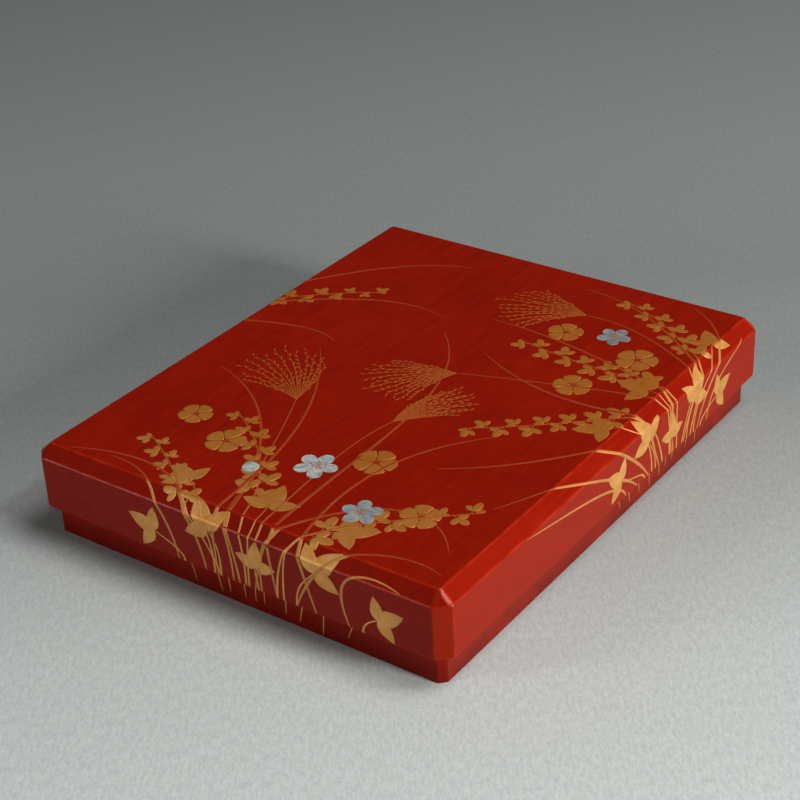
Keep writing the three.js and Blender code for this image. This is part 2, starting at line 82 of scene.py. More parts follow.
def footprint(node: str) -> tuple[np.ndarray, np.ndarray, float, float]:
    """A CAD node's middle and half size seen from above, and its lowest and highest z."""
    low, high = (np.array(corner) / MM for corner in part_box(node))
    return (low[:2] + high[:2]) / 2, (high[:2] - low[:2]) / 2, low[2], high[2]


SKIN = 0.12  # the lacquer lies this far inside the boards' outline, so that the gold on it does too
HALF_WIDTH = span("lid_top_board", 0)[1] - SKIN
HALF_LENGTH = span("lid_top_board", 1)[1] - SKIN
CEILING_Z, LID_TOP_Z = span("lid_top_board", 2)
RIM_Z = span("lid_front_wall", 2)[0]
BASE_HALF_WIDTH = span("base_right_wall", 0)[1]
BASE_HALF_LENGTH = span("base_back_wall", 1)[1]
BASE_TOP_Z = span("base_front_wall", 2)[1]
FLOOR_Z = span("base_floor_board", 2)[1]

# Sizes that the frame's boxes don't show, the same as the boards'
CHAMFER_IN = 5.6
CHAMFER_DOWN = 4.7
CORNER_CUT = 5.3
WALL = 4.0
EASE = 0.6  # how far the rounding of an arris reaches on each face

FLAT_HALF_WIDTH = HALF_WIDTH - CHAMFER_IN
FLAT_HALF_LENGTH = HALF_LENGTH - CHAMFER_IN
LAND_Z = LID_TOP_Z - CHAMFER_DOWN  # where the chamfer meets the wall
FACET_SUM = HALF_WIDTH + HALF_LENGTH - CORNER_CUT  # |x| + |y| all over the upright corner facets
FACET_MIDDLE = HALF_WIDTH - HALF_LENGTH  # |x| - |y| down the middle of each of them


# Shader writing

class Term:
    """A number that varies over a surface, on which sums are written as Python expressions."""

    def __init__(self, recipe: "Recipe", socket: bpy.types.NodeSocket) -> None:
        """Wraps an output socket in a material's tree."""
        self.recipe = recipe
        self.socket = socket

    def _sum(self, operation: str, *values: Any, clamp: bool = False) -> "Term":
        """Adds one Math node and returns what it gives."""
        settings = {"operation": operation, "use_clamp": clamp}
        return self.recipe.node("ShaderNodeMath", settings, dict(enumerate(values)))

    def __add__(self, other: Any) -> "Term":
        """self + other."""
        return self._sum("ADD", self, other)

    def __sub__(self, other: Any) -> "Term":
        """self - other."""
        return self._sum("SUBTRACT", self, other)

    def __rsub__(self, other: Any) -> "Term":
        """other - self."""
        return self._sum("SUBTRACT", other, self)

    def __mul__(self, other: Any) -> "Term":
        """self times other."""
        return self._sum("MULTIPLY", self, other)

    __radd__ = __add__
    __rmul__ = __mul__

    def __abs__(self) -> "Term":
        """The size of self without its sign."""
        return self._sum("ABSOLUTE", self)

    def most(self, other: Any) -> "Term":
        """The larger of self and other."""
        return self._sum("MAXIMUM", self, other)

    def sine(self) -> "Term":
        """The sine of self, in radians."""
        return self._sum("SINE", self)

    def fraction(self) -> "Term":
        """What is left of self over a whole number."""
        return self._sum("FRACT", self)

    def ramp(self, low: float, high: float) -> "Term":
        """0 where self is low, 1 where it is high, and a straight line between them.

        Args:
            low: the value that gives 0. It may be more than high.
            high: the value that gives 1.

        Returns:
            (self - low) / (high - low), kept between 0 and 1.
        """
        slope = 1 / (high - low)
        return self._sum("MULTIPLY_ADD", self, slope, -low * slope, clamp=True)


class Recipe:
    """One material's node tree, with the Principled shader at its end."""

    def __init__(self, name: str, **fixed: Any) -> None:
        """Makes the material.

        Args:
            name: the finish's name.
            fixed: what is the same all over the surface, by socket name with _ for a space.
        """
        self.material = bpy.data.materials.new(name)
        self.material.use_nodes = True
        self.tree = self.material.node_tree
        self.shader = self.tree.nodes["Principled BSDF"]
        self.feed(**fixed)

    def feed(self, **sockets: Any) -> bpy.types.Material:
        """Links or sets the shader's inputs.

        Args:
            sockets: terms or plain values, by socket name with _ for a space.

        Returns:
            The material.
        """
        named = {name.replace("_", " "): value for name, value in sockets.items()}
        self._plug(self.shader, named)
        return self.material

    def _plug(self, made: bpy.types.Node, sockets: dict[Any, Any]) -> None:
        """Links or sets a node's inputs.

        Args:
            made: the node.
            sockets: terms or plain values, by name or number.
        """
        for key, value in sockets.items():
            if isinstance(value, Term):
                self.tree.links.new(value.socket, made.inputs[key])
            else:
                made.inputs[key].default_value = value

    def node(self, kind: str, settings: dict[str, Any], sockets: dict[Any, Any],
             output: Any = 0) -> Term:
        """Adds a node of any kind.

        Args:
            kind: the node's type.
            settings: its properties; "stops" are a ramp's (position, colour) pairs.
            sockets: values or links of its inputs, by name or number.
            output: name or number of the output to hand back.

        Returns:
            The chosen output.
        """
        made = self.tree.nodes.new(kind)
        for name, value in settings.items():
            if name == "stops":
                self._stops(made.color_ramp, value)
            else:
                setattr(made, name, value)
        self._plug(made, sockets)
        return Term(self, made.outputs[output])

    @staticmethod
    def _stops(ramp: bpy.types.ColorRamp, stops: Sequence[tuple[float, tuple]]) -> None:
        """Puts a ramp's colours at their places.

        Args:
            ramp: the ramp.
            stops: its positions and colours.
        """
        while len(ramp.elements) < len(stops):
            ramp.elements.new(0.5)
        for element, (position, colour) in zip(ramp.elements, stops):
            element.position = position
            element.color = colour

    def place(self, stretch: Sequence[float] = (1, 1, 1),
              turn: Sequence[float] = (0, 0, 0)) -> Term:
        """The point in the object's own space.

        Args:
            stretch: what each coordinate, in metres, is multiplied by.
            turn: turn about each axis, in radians.

        Returns:
            The stretched and turned point.
        """
        point = self.node("ShaderNodeTexCoord", {}, {}, "Object")
        return self.node("ShaderNodeMapping", {},
                         {"Vector": point, "Scale": stretch, "Rotation": turn})

    def axes(self) -> tuple[Term, Term, Term]:
        """The point's three coordinates in millimetres."""
        grown = self.place((1 / MM, 1 / MM, 1 / MM))
        return tuple(self.node("ShaderNodeSeparateXYZ", {}, {0: grown}, axis) for axis in "XYZ")

    def lane(self) -> tuple[Term, Term]:
        """The UV map called lane: how far across and how far along a piece a place is."""
        lane = self.node("ShaderNodeUVMap", {"uv_map": "lane"}, {})
        return tuple(self.node("ShaderNodeSeparateXYZ", {}, {0: lane}, axis) for axis in "XY")

    def tag(self, name: str) -> Term:
        """A named attribute of the mesh."""
        return self.node("ShaderNodeAttribute", {"attribute_name": name}, {}, "Fac")

    def noise(self, scale: float, detail: float, rough: float = 0.5, at: Term | None = None,
              warp: float = 0) -> Term:
        """Smooth noise from 0 to 1.

        Args:
            scale: how many waves there are in a metre.
            detail: how many finer layers are added.
            rough: how strong the finer layers are.
            at: where it is read; the object's own space if left out.
            warp: how much it is stirred.

        Returns:
            The noise.
        """
        inputs = {"Vector": at or self.place(), "Scale": scale, "Detail": detail,
                  "Roughness": rough, "Distortion": warp}
        return self.node("ShaderNodeTexNoise", {}, inputs)

    def fibre(self, stretch: Sequence[float], detail: float, rough: float = 0.5,
              warp: float = 0, turn: Sequence[float] = (0, 0, 0)) -> Term:
        """Noise drawn out along an axis.

        Args:
            stretch: how many waves there are in a metre along each axis.
            detail: how many finer layers are added.
            rough: how strong the finer layers are.
            warp: how much it is stirred.
            turn: turn about each axis, in radians.

        Returns:
            The noise.
        """
        return self.noise(1, detail, rough, self.place(stretch, turn), warp)

    def grains(self, scale: float, edge: float, core: float) -> Term:
        """Grains scattered at random.

        Args:
            scale: how many there are in a metre.
            edge: how far from its middle a grain ends, as a share of their spacing.
            core: how far it is whole.

        Returns:
            1 in the grains and 0 between them.
        """
        spots = {"Vector": self.place(), "Scale": scale}
        return self.node("ShaderNodeTexVoronoi", {}, spots, "Distance").ramp(edge, core)

    def mix(self, share: Any, first: Any, second: Any) -> Term:
        """Two colours mixed.

        Args:
            share: how much of the second there is.
            first: the colour at 0.
            second: the colour at 1.

        Returns:
            The mixed colour.
        """
        return self.node("ShaderNodeMix", {"data_type": "RGBA"}, {0: share, 6: first, 7: second}, 2)

    def bump(self, height: Term, depth: float, strength: float = 0.5,
             below: Term | None = None) -> Term:
        """A normal that shows a height from 0 to 1 as relief.

        Args:
            height: the relief.
            depth: how deep it is from 0 to 1, in millimetres.
            strength: the share of it that is used.
            below: a normal that this one is laid on.

        Returns:
            The normal.
        """
        inputs = {"Height": height, "Distance": depth * MM, "Strength": strength}
        if below is not None:
            inputs["Normal"] = below
        return self.node("ShaderNodeBump", {}, inputs)


def tint(red: int, green: int, blue: int) -> tuple[float, float, float, float]:
    """A screen colour as the linear colour that shaders use, with the screen's curve undone.

    Args:
        red: the red channel, 0 to 255.
        green: the green channel.
        blue: the blue channel.

    Returns:
        Red, green, blue and alpha, 0 to 1.
    """
    shares = [value / 255 for value in (red, green, blue)]
    linear = [s / 12.92 if s <= 0.04045 else ((s + 0.055) / 1.055) ** 2.4 for s in shares]
    return (*linear, 1.0)


# Finishes

@dataclass(frozen=True)
class RedLacquer:
    """Clear red lacquer over wood: thinner and more orange on the arrises, with dirt and
    painted shade at the foot. Painted shade also darkens the front and back slopes and the
    corner triangles, painted highlights lighten the triangles' upper edges, and the side
    walls get a painted warmer lit red.
    """

    body: tuple = tint(140, 22, 4)
    deep: tuple = tint(120, 15, 3)
    # painted shade: the darker red laid on the front and back slopes and the corner triangles
    slope_shade_red: tuple = tint(96, 10, 3)
    # painted light: the warmer red of a wall in the key light, laid on both side walls
    lit_wall_red: tuple = tint(141, 36, 5)
    # the orange of thin lacquer on worn arrises; on the triangles' upper edges it is a painted
    # highlight
    thin: tuple = tint(192, 54, 24)
    # dust, dark streaks, and the foot's dirt and painted shade
    speck_and_shade: tuple = tint(62, 10, 6)
    arris: float = 0.7  # how wide the wear is to each side of an edge
    foot: float = 12.0  # how far up the base the darkening goes: dirt, and painted shade under the lid's overhang
    near_wall: tuple = (-1.4, -0.6)  # from the outline: a wall's mask starts here, is full there
    roughness: float = 0.26
    polish: float = 0.7

    def arrises(self, recipe: Recipe) -> Term:
        """A mask of the lid's edges, from the distance to each edge line.

        Args:
            recipe: the material that it is for.

        Returns:
            1 along the edges and 0 elsewhere.
        """
        x, y, z = recipe.axes()
        across, along = abs(x), abs(y)
        past_flat = (across - FLAT_HALF_WIDTH).most(along - FLAT_HALF_LENGTH)
        outer = (across - HALF_WIDTH).most(along - HALF_LENGTH).ramp(*self.near_wall)
        facet = (across + along - FACET_SUM).ramp(*self.near_wall) * z.ramp(RIM_Z - 1, RIM_Z)
        slant = abs(across - along - FACET_MIDDLE)
        top = abs(past_flat).ramp(self.arris, 0) * z.ramp(LID_TOP_Z - 1.2, LID_TOP_Z - 0.4)
        land = abs(z - LAND_Z).ramp(self.arris, 0) * outer
        rim = abs(z - RIM_Z).ramp(self.arris, 0) * outer
        upright = abs(slant - CORNER_CUT).ramp(self.arris * 1.4, 0) * facet * 0.5
        return top.most(land).most(rim).most(upright)

    def corners(self, recipe: Recipe) -> tuple[Term, Term]:
        """Masks of what differs on the slopes and on the triangles at the lid's top corners.

        Painted shade darkens the front and back slopes, and most of all the triangles, where
        the faces turn away from the light at the side. On a triangle |x| + |y| falls evenly as z
        rises; everywhere else on the lid it is less at the same height.

        Args:
            recipe: the material that they are for.

        Returns:
            Where painted shade darkens the lacquer, and the triangles' upper edges, which get a
            painted highlight and a glossier coat, most of all the one next to the long side's
            slope.
        """
        x, y, z = recipe.axes()
        across, along = abs(x), abs(y)
        fall = (2 * CHAMFER_IN - CORNER_CUT) / CHAMFER_DOWN
        short = across + along + (z - LAND_Z) * fall - FACET_SUM
        above = z.ramp(LAND_Z, LAND_Z + 0.5)
        slope = (along - FLAT_HALF_LENGTH).ramp(0.1, 0.7) * 0.55
        long_way = (across - along - FACET_MIDDLE).ramp(0, 1.2) * 0.85 + 0.15
        sides = short.ramp(-1.6, -0.5) * short.ramp(-0.01, -0.06) * above * long_way
        return slope.most(short.ramp(-0.9, -0.3)) * above, sides

    def make(self) -> bpy.types.Material:
        """Builds the material: ground, then dust, streaks, the side walls' painted lit red, the
        slopes' painted shade, worn arrises and painted highlights, and the foot's dirt and
        painted shade.

        Returns:
            The material.
        """
        recipe = Recipe("red lacquer", Specular_IOR_Level=0.085, Coat_Roughness=0.22)
        x, _, z = recipe.axes()
        grain = recipe.fibre((420, 34, 420), 4, 0.55, 0.6)
        cloud = recipe.noise(22, 3, 0.55)
        mottle = recipe.noise(160, 3, 0.6)
        depth = (grain * 0.45 + cloud * 0.3 + mottle * 0.25).ramp(0.34, 0.66)
        colour = recipe.mix(depth, self.body, self.deep)
        dust = recipe.grains(700, 0.11, 0.05) * recipe.noise(60, 1).ramp(0.5, 0.62)
        colour = recipe.mix(dust * 0.55, colour, self.speck_and_shade)
        streak = recipe.fibre((900, 55, 900), 2).ramp(0.64, 0.74)
        colour = recipe.mix(streak * 0.24, colour, self.speck_and_shade)
        # painted light: the side walls below the slopes get the warmer red of a wall in the key
        # light
        side = abs(x).ramp(BASE_HALF_WIDTH - 1, BASE_HALF_WIDTH - 0.5)
        colour = recipe.mix(side * z.ramp(LAND_Z, LAND_Z - 0.5) * 0.35, colour, self.lit_wall_red)
        arrises = self.arrises(recipe)
        sunk, sides = self.corners(recipe)
        # painted shade on the front and back slopes and the corner triangles
        colour = recipe.mix(sunk * 0.7, colour, self.slope_shade_red)
        # thin orange lacquer on worn arrises, and a painted highlight on the triangles' upper edges
        worn = (arrises * recipe.noise(120, 2).ramp(0.3, 0.6) * 0.4).most(sides * 0.5)
        colour = recipe.mix(worn, colour, self.thin)
        # darker toward the floor: dirt, and painted shade under the lid's overhang
        foot = z.ramp(self.foot, 0) * recipe.noise(50, 3).ramp(0.2, 0.5)
        colour = recipe.mix(foot * 0.62, colour, self.speck_and_shade)
        gloss = self.roughness + recipe.noise(45, 3).ramp(0.3, 0.7) * 0.07
        swell = recipe.bump(recipe.noise(24, 1), 0.05, 0.6)
        skin = recipe.bump(recipe.noise(900, 2), 0.002, below=swell)
        rubbed = (arrises * recipe.noise(200, 2).ramp(0.35, 0.6) * 0.22).most(sides)
        return recipe.feed(Base_Color=colour, Roughness=gloss, Normal=skin,
                           Coat_Weight=rubbed * self.polish)


@dataclass(frozen=True)
class BlackLacquer:
    """Brown-black lacquer with a fine sprinkling of gold flakes under its surface."""

    body: tuple = tint(34, 20, 15)
    warm: tuple = tint(66, 34, 18)
    flake: tuple = tint(206, 146, 62)
    flakes: float = 0.8  # how much of a flake shows through

    def make(self) -> bpy.types.Material:
        """Builds the material.

        Returns:
            The material.
        """
        recipe = Recipe("black lacquer", Specular_IOR_Level=0.5, Coat_Roughness=0.08,
                        Coat_Weight=0.4)
        colour = recipe.mix(recipe.noise(40, 4).ramp(0.35, 0.7), self.body, self.warm)
        patch = recipe.noise(70, 2).ramp(0.4, 0.6)
        gold = recipe.grains(1500, 0.2, 0.12) * patch * self.flakes
        return recipe.feed(Base_Color=recipe.mix(gold, colour, self.flake), Metallic=gold * 0.8,
                           Roughness=0.2 + recipe.noise(60, 3) * 0.1,
                           Normal=recipe.bump(recipe.noise(30, 1), 0.04))


@dataclass(frozen=True)
class SprinkledGold:
    """Gold powder in lacquer: bright where it is dense, with red between thinly laid grains.
    On the lid's top it is painted darker and more orange, as shade.

    A stroke's lane runs from 0 to 1 across it and from root to tip along it. Its tone says how
    dense the powder is, and leafy how much it is a leaf, with a midrib, veins and a thin edge.
    """

    dense: tuple = tint(216, 160, 90)
    brown: tuple = tint(199, 136, 66)
    # painted shade: the darker, more orange gold laid on the lid's top
    level: tuple = tint(178, 100, 20)
    ground: tuple = tint(142, 44, 8)
    veins: int = 6
    front: tuple = (-62, -114)  # along y: the painted shade on the top's gold lessens from here to there

    def make(self) -> bpy.types.Material:
        """Builds the material.

        Returns:
            The material.
        """
        recipe = Recipe("sprinkled gold", Specular_IOR_Level=0.25)
        tone, leafy = recipe.tag("tone"), recipe.tag("leafy")
        across, along = recipe.lane()
        _, y, z = recipe.axes()
        offset = abs(across - 0.5)
        midrib = offset.ramp(0.05, 0.02) * along.ramp(0.02, 0.1)
        vein = abs(((along + offset * 0.5) * self.veins).fraction() - 0.5).ramp(0.07, 0.03)
        vein = vein * offset.ramp(0.03, 0.07) * offset.ramp(0.44, 0.36)
        drawn = midrib.most(vein * 0.7) * leafy
        powder = recipe.noise(5200, 2, 0.7)
        patch = recipe.noise(160, 3, 0.6)
        on_top = z.ramp(LID_TOP_Z - 0.6, LID_TOP_Z - 0.1)
        fade = (0.4 - along) * leafy * 0.5
        edge = offset.ramp(0.44, 0.495) * leafy
        thin = on_top * (1 - leafy) * 0.36 + drawn * 0.12 + edge * 0.4
        cover = tone * 0.95 + fade + patch * 0.3 - thin + (powder - 0.5) * 0.4
        cover = cover.ramp(0.15, 0.8)
        colour = recipe.mix(patch.ramp(0.35, 0.65), self.dense, self.brown)
        # painted shade: the gold on the lid's top is darker, less so toward the front
        colour = recipe.mix(on_top * (0.8 - y.ramp(*self.front) * 0.36), colour, self.level)
        relief = recipe.bump(1 - drawn, 0.012, below=recipe.bump(powder, 0.01))
        return recipe.feed(Base_Color=recipe.mix(cover, self.ground, colour), Normal=relief,
                           Metallic=cover * 0.5, Roughness=0.56 - cover * 0.08 + powder * 0.08)


@dataclass(frozen=True)
class MotherOfPearl:
    """Polished shell, pale blue and silver, whose colour turns in bands and dims to the right."""

    pale: tuple = tint(214, 214, 200)
    blue: tuple = tint(146, 158, 168)
    rose: tuple = tint(196, 180, 196)
    green: tuple = tint(150, 196, 184)
    dim: tuple = tint(96, 104, 107)
    dimmed: tuple = (0, 60)  # along x: the shell darkens from here to there

    def make(self) -> bpy.types.Material:
        """Builds the material.

        Returns:
            The material.
        """
        recipe = Recipe("mother-of-pearl", Specular_IOR_Level=0.7, Coat_Roughness=0.06,
                        Coat_Weight=0.5, Metallic=0.25)
        bands = recipe.fibre((210, 330, 100), 3, 0.6, 1.4, (0, 0, 0.6)).ramp(0.42, 0.62)
        colour = recipe.mix(bands, self.pale, self.blue)
        colour = recipe.mix(recipe.noise(260, 2).ramp(0.5, 0.7) * 0.7, colour, self.green)
        blush = recipe.noise(330, 2, at=recipe.place(turn=(0, 0.7, 0))).ramp(0.52, 0.7)
        colour = recipe.mix(blush * 0.6, colour, self.rose)
        colour = recipe.mix(recipe.axes()[0].ramp(*self.dimmed) * 0.65, colour, self.dim)
        growth = (recipe.noise(90, 3, warp=0.8) * 60).sine() * 0.5 + 0.5
        return recipe.feed(Base_Color=colour, Roughness=0.22 + growth * 0.1,
                           Normal=recipe.bump(growth, 0.015))


@dataclass(frozen=True)
class Slate:
    """Fine-grained ink stone, purple-black, with faint bedding and a few pale grains."""

    body: tuple = tint(50, 47, 52)
    bed: tuple = tint(70, 64, 66)
    grain: tuple = tint(112, 106, 100)

    def make(self) -> bpy.types.Material:
        """Builds the material.

        Returns:
            The material.
        """
        recipe = Recipe("ink slate", Specular_IOR_Level=0.4)
        bedding = recipe.fibre((28, 60, 240), 5, 0.6, 1.2, (0.2, 0.1, 0.3))
        colour = recipe.mix(bedding.ramp(0.4, 0.66), self.body, self.bed)
        colour = recipe.mix(recipe.grains(520, 0.1, 0.04) * 0.5, colour, self.grain)
        fine = recipe.noise(1600, 3, 0.6)
        return recipe.feed(Base_Color=colour, Roughness=0.46 + fine * 0.14,
                           Normal=recipe.bump(fine, 0.02))


@dataclass(frozen=True)
class Bronze:
    """Cast bronze with a brown patina in its grooves, rubbed bright on its high points."""

    metal: tuple = tint(176, 134, 78)
    patina: tuple = tint(84, 58, 36)

    def make(self) -> bpy.types.Material:
        """Builds the material.

        Returns:
            The material.
        """
        recipe = Recipe("bronze", Specular_IOR_Level=0.5)
        groove, _ = recipe.lane()
        dull = (groove * 0.75 + recipe.noise(170, 4, 0.6) * 0.6).ramp(0.35, 0.85)
        return recipe.feed(Base_Color=recipe.mix(dull, self.metal, self.patina),
                           Metallic=0.95 - dull * 0.3, Roughness=0.28 + dull * 0.3,
                           Normal=recipe.bump(recipe.noise(900, 3), 0.03))


@dataclass(frozen=True)
class Bamboo:
    """Polished bamboo with long fibres and darker flecks."""

    pale: tuple = tint(196, 152, 92)
    amber: tuple = tint(146, 94, 44)
    fleck: tuple = tint(86, 50, 24)

    def make(self) -> bpy.types.Material:
        """Builds the material.

        Returns:
            The material.
        """
        recipe = Recipe("bamboo", Coat_Roughness=0.1, Coat_Weight=0.25)
        fibre = recipe.fibre((1900, 26, 1900), 4, 0.6)
        colour = recipe.mix(fibre.ramp(0.3, 0.7), self.pale, self.amber)
        spots = recipe.fibre((520, 90, 520), 3, 0.6).ramp(0.62, 0.74)
        return recipe.feed(Base_Color=recipe.mix(spots * 0.6, colour, self.fleck),
                           Roughness=0.34 + fibre * 0.12, Normal=recipe.bump(fibre, 0.03, 0.6))


@dataclass(frozen=True)
class Horn:
    """Polished dark horn with paler clouds."""

    dark: tuple = tint(34, 22, 17)
    cloud: tuple = tint(104, 70, 44)

    def make(self) -> bpy.types.Material:
        """Builds the material.

        Returns:
            The material.
        """
        recipe = Recipe("horn", Coat_Roughness=0.06, Coat_Weight=0.4)
        cloud = recipe.fibre((260, 90, 260), 4, 0.6, 0.8).ramp(0.52, 0.74)
        return recipe.feed(Base_Color=recipe.mix(cloud, self.dark, self.cloud),
                           Roughness=0.24 + cloud * 0.1,
                           Normal=recipe.bump(recipe.noise(700, 2), 0.01))


@dataclass(frozen=True)
class BrushHair:
    """Pale goat hair, a little yellower at the root, drawn to a point."""

    tip: tuple = tint(232, 222, 202)
    root: tuple = tint(186, 160, 122)
    hairs: int = 90  # waves of the strands round the head

    def make(self) -> bpy.types.Material:
        """Builds the material.

        Returns:
            The material.
        """
        recipe = Recipe("brush hair", Sheen_Weight=0.3, Sheen_Roughness=0.4)
        around, along = recipe.lane()
        strand = recipe.node("ShaderNodeCombineXYZ", {}, {0: around * self.hairs, 1: along * 3})
        hairs = recipe.noise(1, 3, 0.7, strand)
        colour = recipe.mix(along.ramp(0.0, 0.5), self.root, self.tip)
        colour = recipe.mix(hairs.ramp(0.35, 0.6) * 0.5, self.root, colour)
        return recipe.feed(Base_Color=colour, Roughness=0.62 + hairs * 0.15,
                           Normal=recipe.bump(hairs, 0.12, 0.8))


@dataclass(frozen=True)
class PressedInk:
    """Pressed soot and glue, nearly black with a soft sheen, or the gilding on its lines."""

    body: tuple = tint(26, 25, 28)
    worn: tuple = tint(58, 54, 54)
    gilt: tuple = tint(190, 140, 66)
    gilded: bool = False

    def make(self) -> bpy.types.Material:
        """Builds the material.

        Returns:
            The material.
        """
        recipe = Recipe("gilded ink" if self.gilded else "pressed ink")
        rub = recipe.noise(110, 4, 0.6)
        fine = recipe.noise(1300, 3)
        relief = recipe.bump(fine, 0.02)
        if self.gilded:
            leaf = rub.ramp(0.34, 0.5)
            return recipe.feed(Base_Color=recipe.mix(leaf, self.body, self.gilt),
                               Metallic=leaf * 0.8, Roughness=0.45, Normal=relief)
        colour = recipe.mix(rub.ramp(0.45, 0.75) * 0.6, self.body, self.worn)
        return recipe.feed(Base_Color=colour, Roughness=0.42 + fine * 0.12, Normal=relief)


@dataclass(frozen=True)
class PaperFloor:
    """Pale grey backing paper with a soft tooth, with painted shade that darkens it further
    from the camera.
    """

    painted_falloff_greys: tuple = ((-260, 208), (-130, 192), (-40, 168), (60, 146), (160, 135), (330, 138),
                    (660, 131))  # distance past the box's middle, and the grey painted there: painted shade, darker away from the camera
    nap: float = 0.36  # the tooth is drawn out away from the camera, to this share of its waves
    pit: tuple = tint(84, 88, 88)

    def make(self, away: Sequence[float]) -> bpy.types.Material:
        """Builds the material.

        Args:
            away: the level direction that leads away from the camera.

        Returns:
            The material.
        """
        recipe = Recipe("backing paper", Specular_IOR_Level=0.2, Roughness=0.85)
        x, y, _ = recipe.axes()
        across, deep = x * away[1] - y * away[0], x * away[0] + y * away[1]
        near, far = self.painted_falloff_greys[0][0], self.painted_falloff_greys[-1][0]
        # painted shade: the grey falls off away from the camera, as light falls off
        stops = [((place - near) / (far - near), tint(grey - 3, grey + 1, grey - 2))
                 for place, grey in self.painted_falloff_greys]
        shade = recipe.node("ShaderNodeValToRGB", {"stops": stops}, {0: deep.ramp(near, far)})
        lay = recipe.node("ShaderNodeCombineXYZ", {}, {0: across * MM, 1: deep * (MM * self.nap)})
        tooth = recipe.noise(640, 3, 0.6, lay) * 0.55 + recipe.noise(1500, 2, 0.5, lay) * 0.45
        colour = recipe.mix(tooth.ramp(0.38, 0.62) * 0.23, shade, self.pit)
        return recipe.feed(Base_Color=colour, Normal=recipe.bump(tooth, 0.1, 0.6))


# Mesh making

def linked(name: str, data: bpy.types.ID) -> bpy.types.Object:
    """Makes an object and puts it in the scene.

    Args:
        name: its name.
        data: its mesh, light or camera.

    Returns:
        The new object.
    """
    made = bpy.data.objects.new(name, data)
    bpy.context.scene.collection.objects.link(made)
    return made


def cast(name: str, vertices: np.ndarray, faces: Sequence[Sequence[int]],
         smooth: bool | np.ndarray = True) -> bpy.types.Object:
    """Puts worked-out points and faces into a mesh object at the origin.

    Args:
        name: the piece's name.
        vertices: the points, down to a last axis of three.
        faces: each face's corners, anticlockwise seen from outside.
        smooth: whether its faces are shaded as curved surfaces, for all of them or for each.

    Returns:
        The new object.
    """
    mesh = bpy.data.meshes.new(name)
    corners = [list(map(int, face)) for face in faces]
    mesh.from_pydata((vertices.reshape(-1, 3) * MM).tolist(), [], corners)
    mesh.polygons.foreach_set("use_smooth", np.full(len(mesh.polygons), smooth))
    mesh.update()
    return linked(name, mesh)


def wrapped_faces(rows: int, columns: int, closed: bool = False) -> np.ndarray:
    """Quads of a tube.

    Face (i, k) joins points k and k + 1 of ring i to the same points of ring i + 1. The first point
    comes after the last.

    Args:
        rows: how many rings there are.
        columns: how many points each ring has.
        closed: whether the last ring is joined to the first.

    Returns:
        An array with a face a row.
    """
    first = np.arange(rows if closed else rows - 1)
    i, k = np.meshgrid(first, np.arange(columns), indexing="ij")
    here, there = i * columns, (i + 1) % rows * columns
    after = (k + 1) % columns
    return np.stack([here + k, here + after, there + after, there + k], -1).reshape(-1, 4)


def tube(name: str, rings: np.ndarray, lanes: tuple[np.ndarray, np.ndarray] | None = None,
         smooth: bool = True) -> bpy.types.Object:
    """A closed skin through rings of points, with a flat cap at each end.

    Args:
        name: the piece's name.
        rings: the points, as rows by columns by 3, going anticlockwise seen from the last ring.
        lanes: two arrays, rows by columns, kept in the UV map called lane.
        smooth: whether its faces are shaded as one curved surface.

    Returns:
        The new object.
    """
    rows, columns = rings.shape[:2]
    faces = wrapped_faces(rows, columns).tolist()
    faces.append(list(range(columns))[::-1])
    faces.append(list(range((rows - 1) * columns, rows * columns)))
    made = cast(name, rings, faces, smooth)
    if lanes is not None:
        write_lanes(made, *lanes)
    return made


def write_lanes(made: bpy.types.Object, first: np.ndarray, second: np.ndarray) -> None:
    """Writes two numbers a vertex into the mesh's UV map called lane.

    Args:
        made: the piece.
        first: what the map's first number is, in the order of the vertices.
        second: what its second number is.
    """
    mesh = made.data
    corners = np.empty(len(mesh.loops), dtype=np.int32)
    mesh.loops.foreach_get("vertex_index", corners)
    pairs = np.stack([first.ravel()[corners], second.ravel()[corners]], -1)
    layer = mesh.uv_layers.new(name="lane")
    layer.data.foreach_set("uv", pairs.ravel().astype(np.float32))


def write_tag(made: bpy.types.Object, name: str, values: np.ndarray, domain: str) -> None:
    """Writes numbers into a named attribute.

    Args:
        made: the piece.
        name: the attribute's name.
        values: one number for each vertex or edge, in their order.
        domain: POINT for vertices and EDGE for edges.
    """
    layer = made.data.attributes.new(name, "FLOAT", domain)
    layer.data.foreach_set("value", values.ravel().astype(np.float32))


SHARP = math.radians(20)  # edges that turn by less than this stay as they are


def ease_edges(made: bpy.types.Object, width: float, segments: int = 3) -> bpy.types.Modifier:
    """Rounds the edges of a piece with a bevel that keeps the flats flat.

    Args:
        made: the piece.
        width: how far the rounding reaches on each face.
        segments: facets across the rounding.

    Returns:
        The bevel.
    """
    bevel = made.modifiers.new("eased edges", "BEVEL")
    bevel.width = width * MM
    bevel.segments = segments
    bevel.limit_method = "ANGLE"
    bevel.angle_limit = SHARP
    bevel.harden_normals = True
    bevel.use_clamp_overlap = True
    return bevel


def dress(made: bpy.types.Object, finish: bpy.types.Material, ware: Ware, body: str,
          stands_for: Sequence[str] = ()) -> bpy.types.Object:
    """Gives a piece what the frame asks of it.

    Args:
        made: the piece.
        finish: its material.
        ware: its slot; not used.
        body: the body that it rides on.
        stands_for: the CAD nodes that it replaces.

    Returns:
        The same piece.
    """
    made.data.materials.clear()
    made.data.materials.append(finish)
    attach(made, body)
    if stands_for:
        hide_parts(*stands_for)
    LOG.info("%s: %d faces, rides on %s", made.name, len(made.data.polygons), body)
    return made


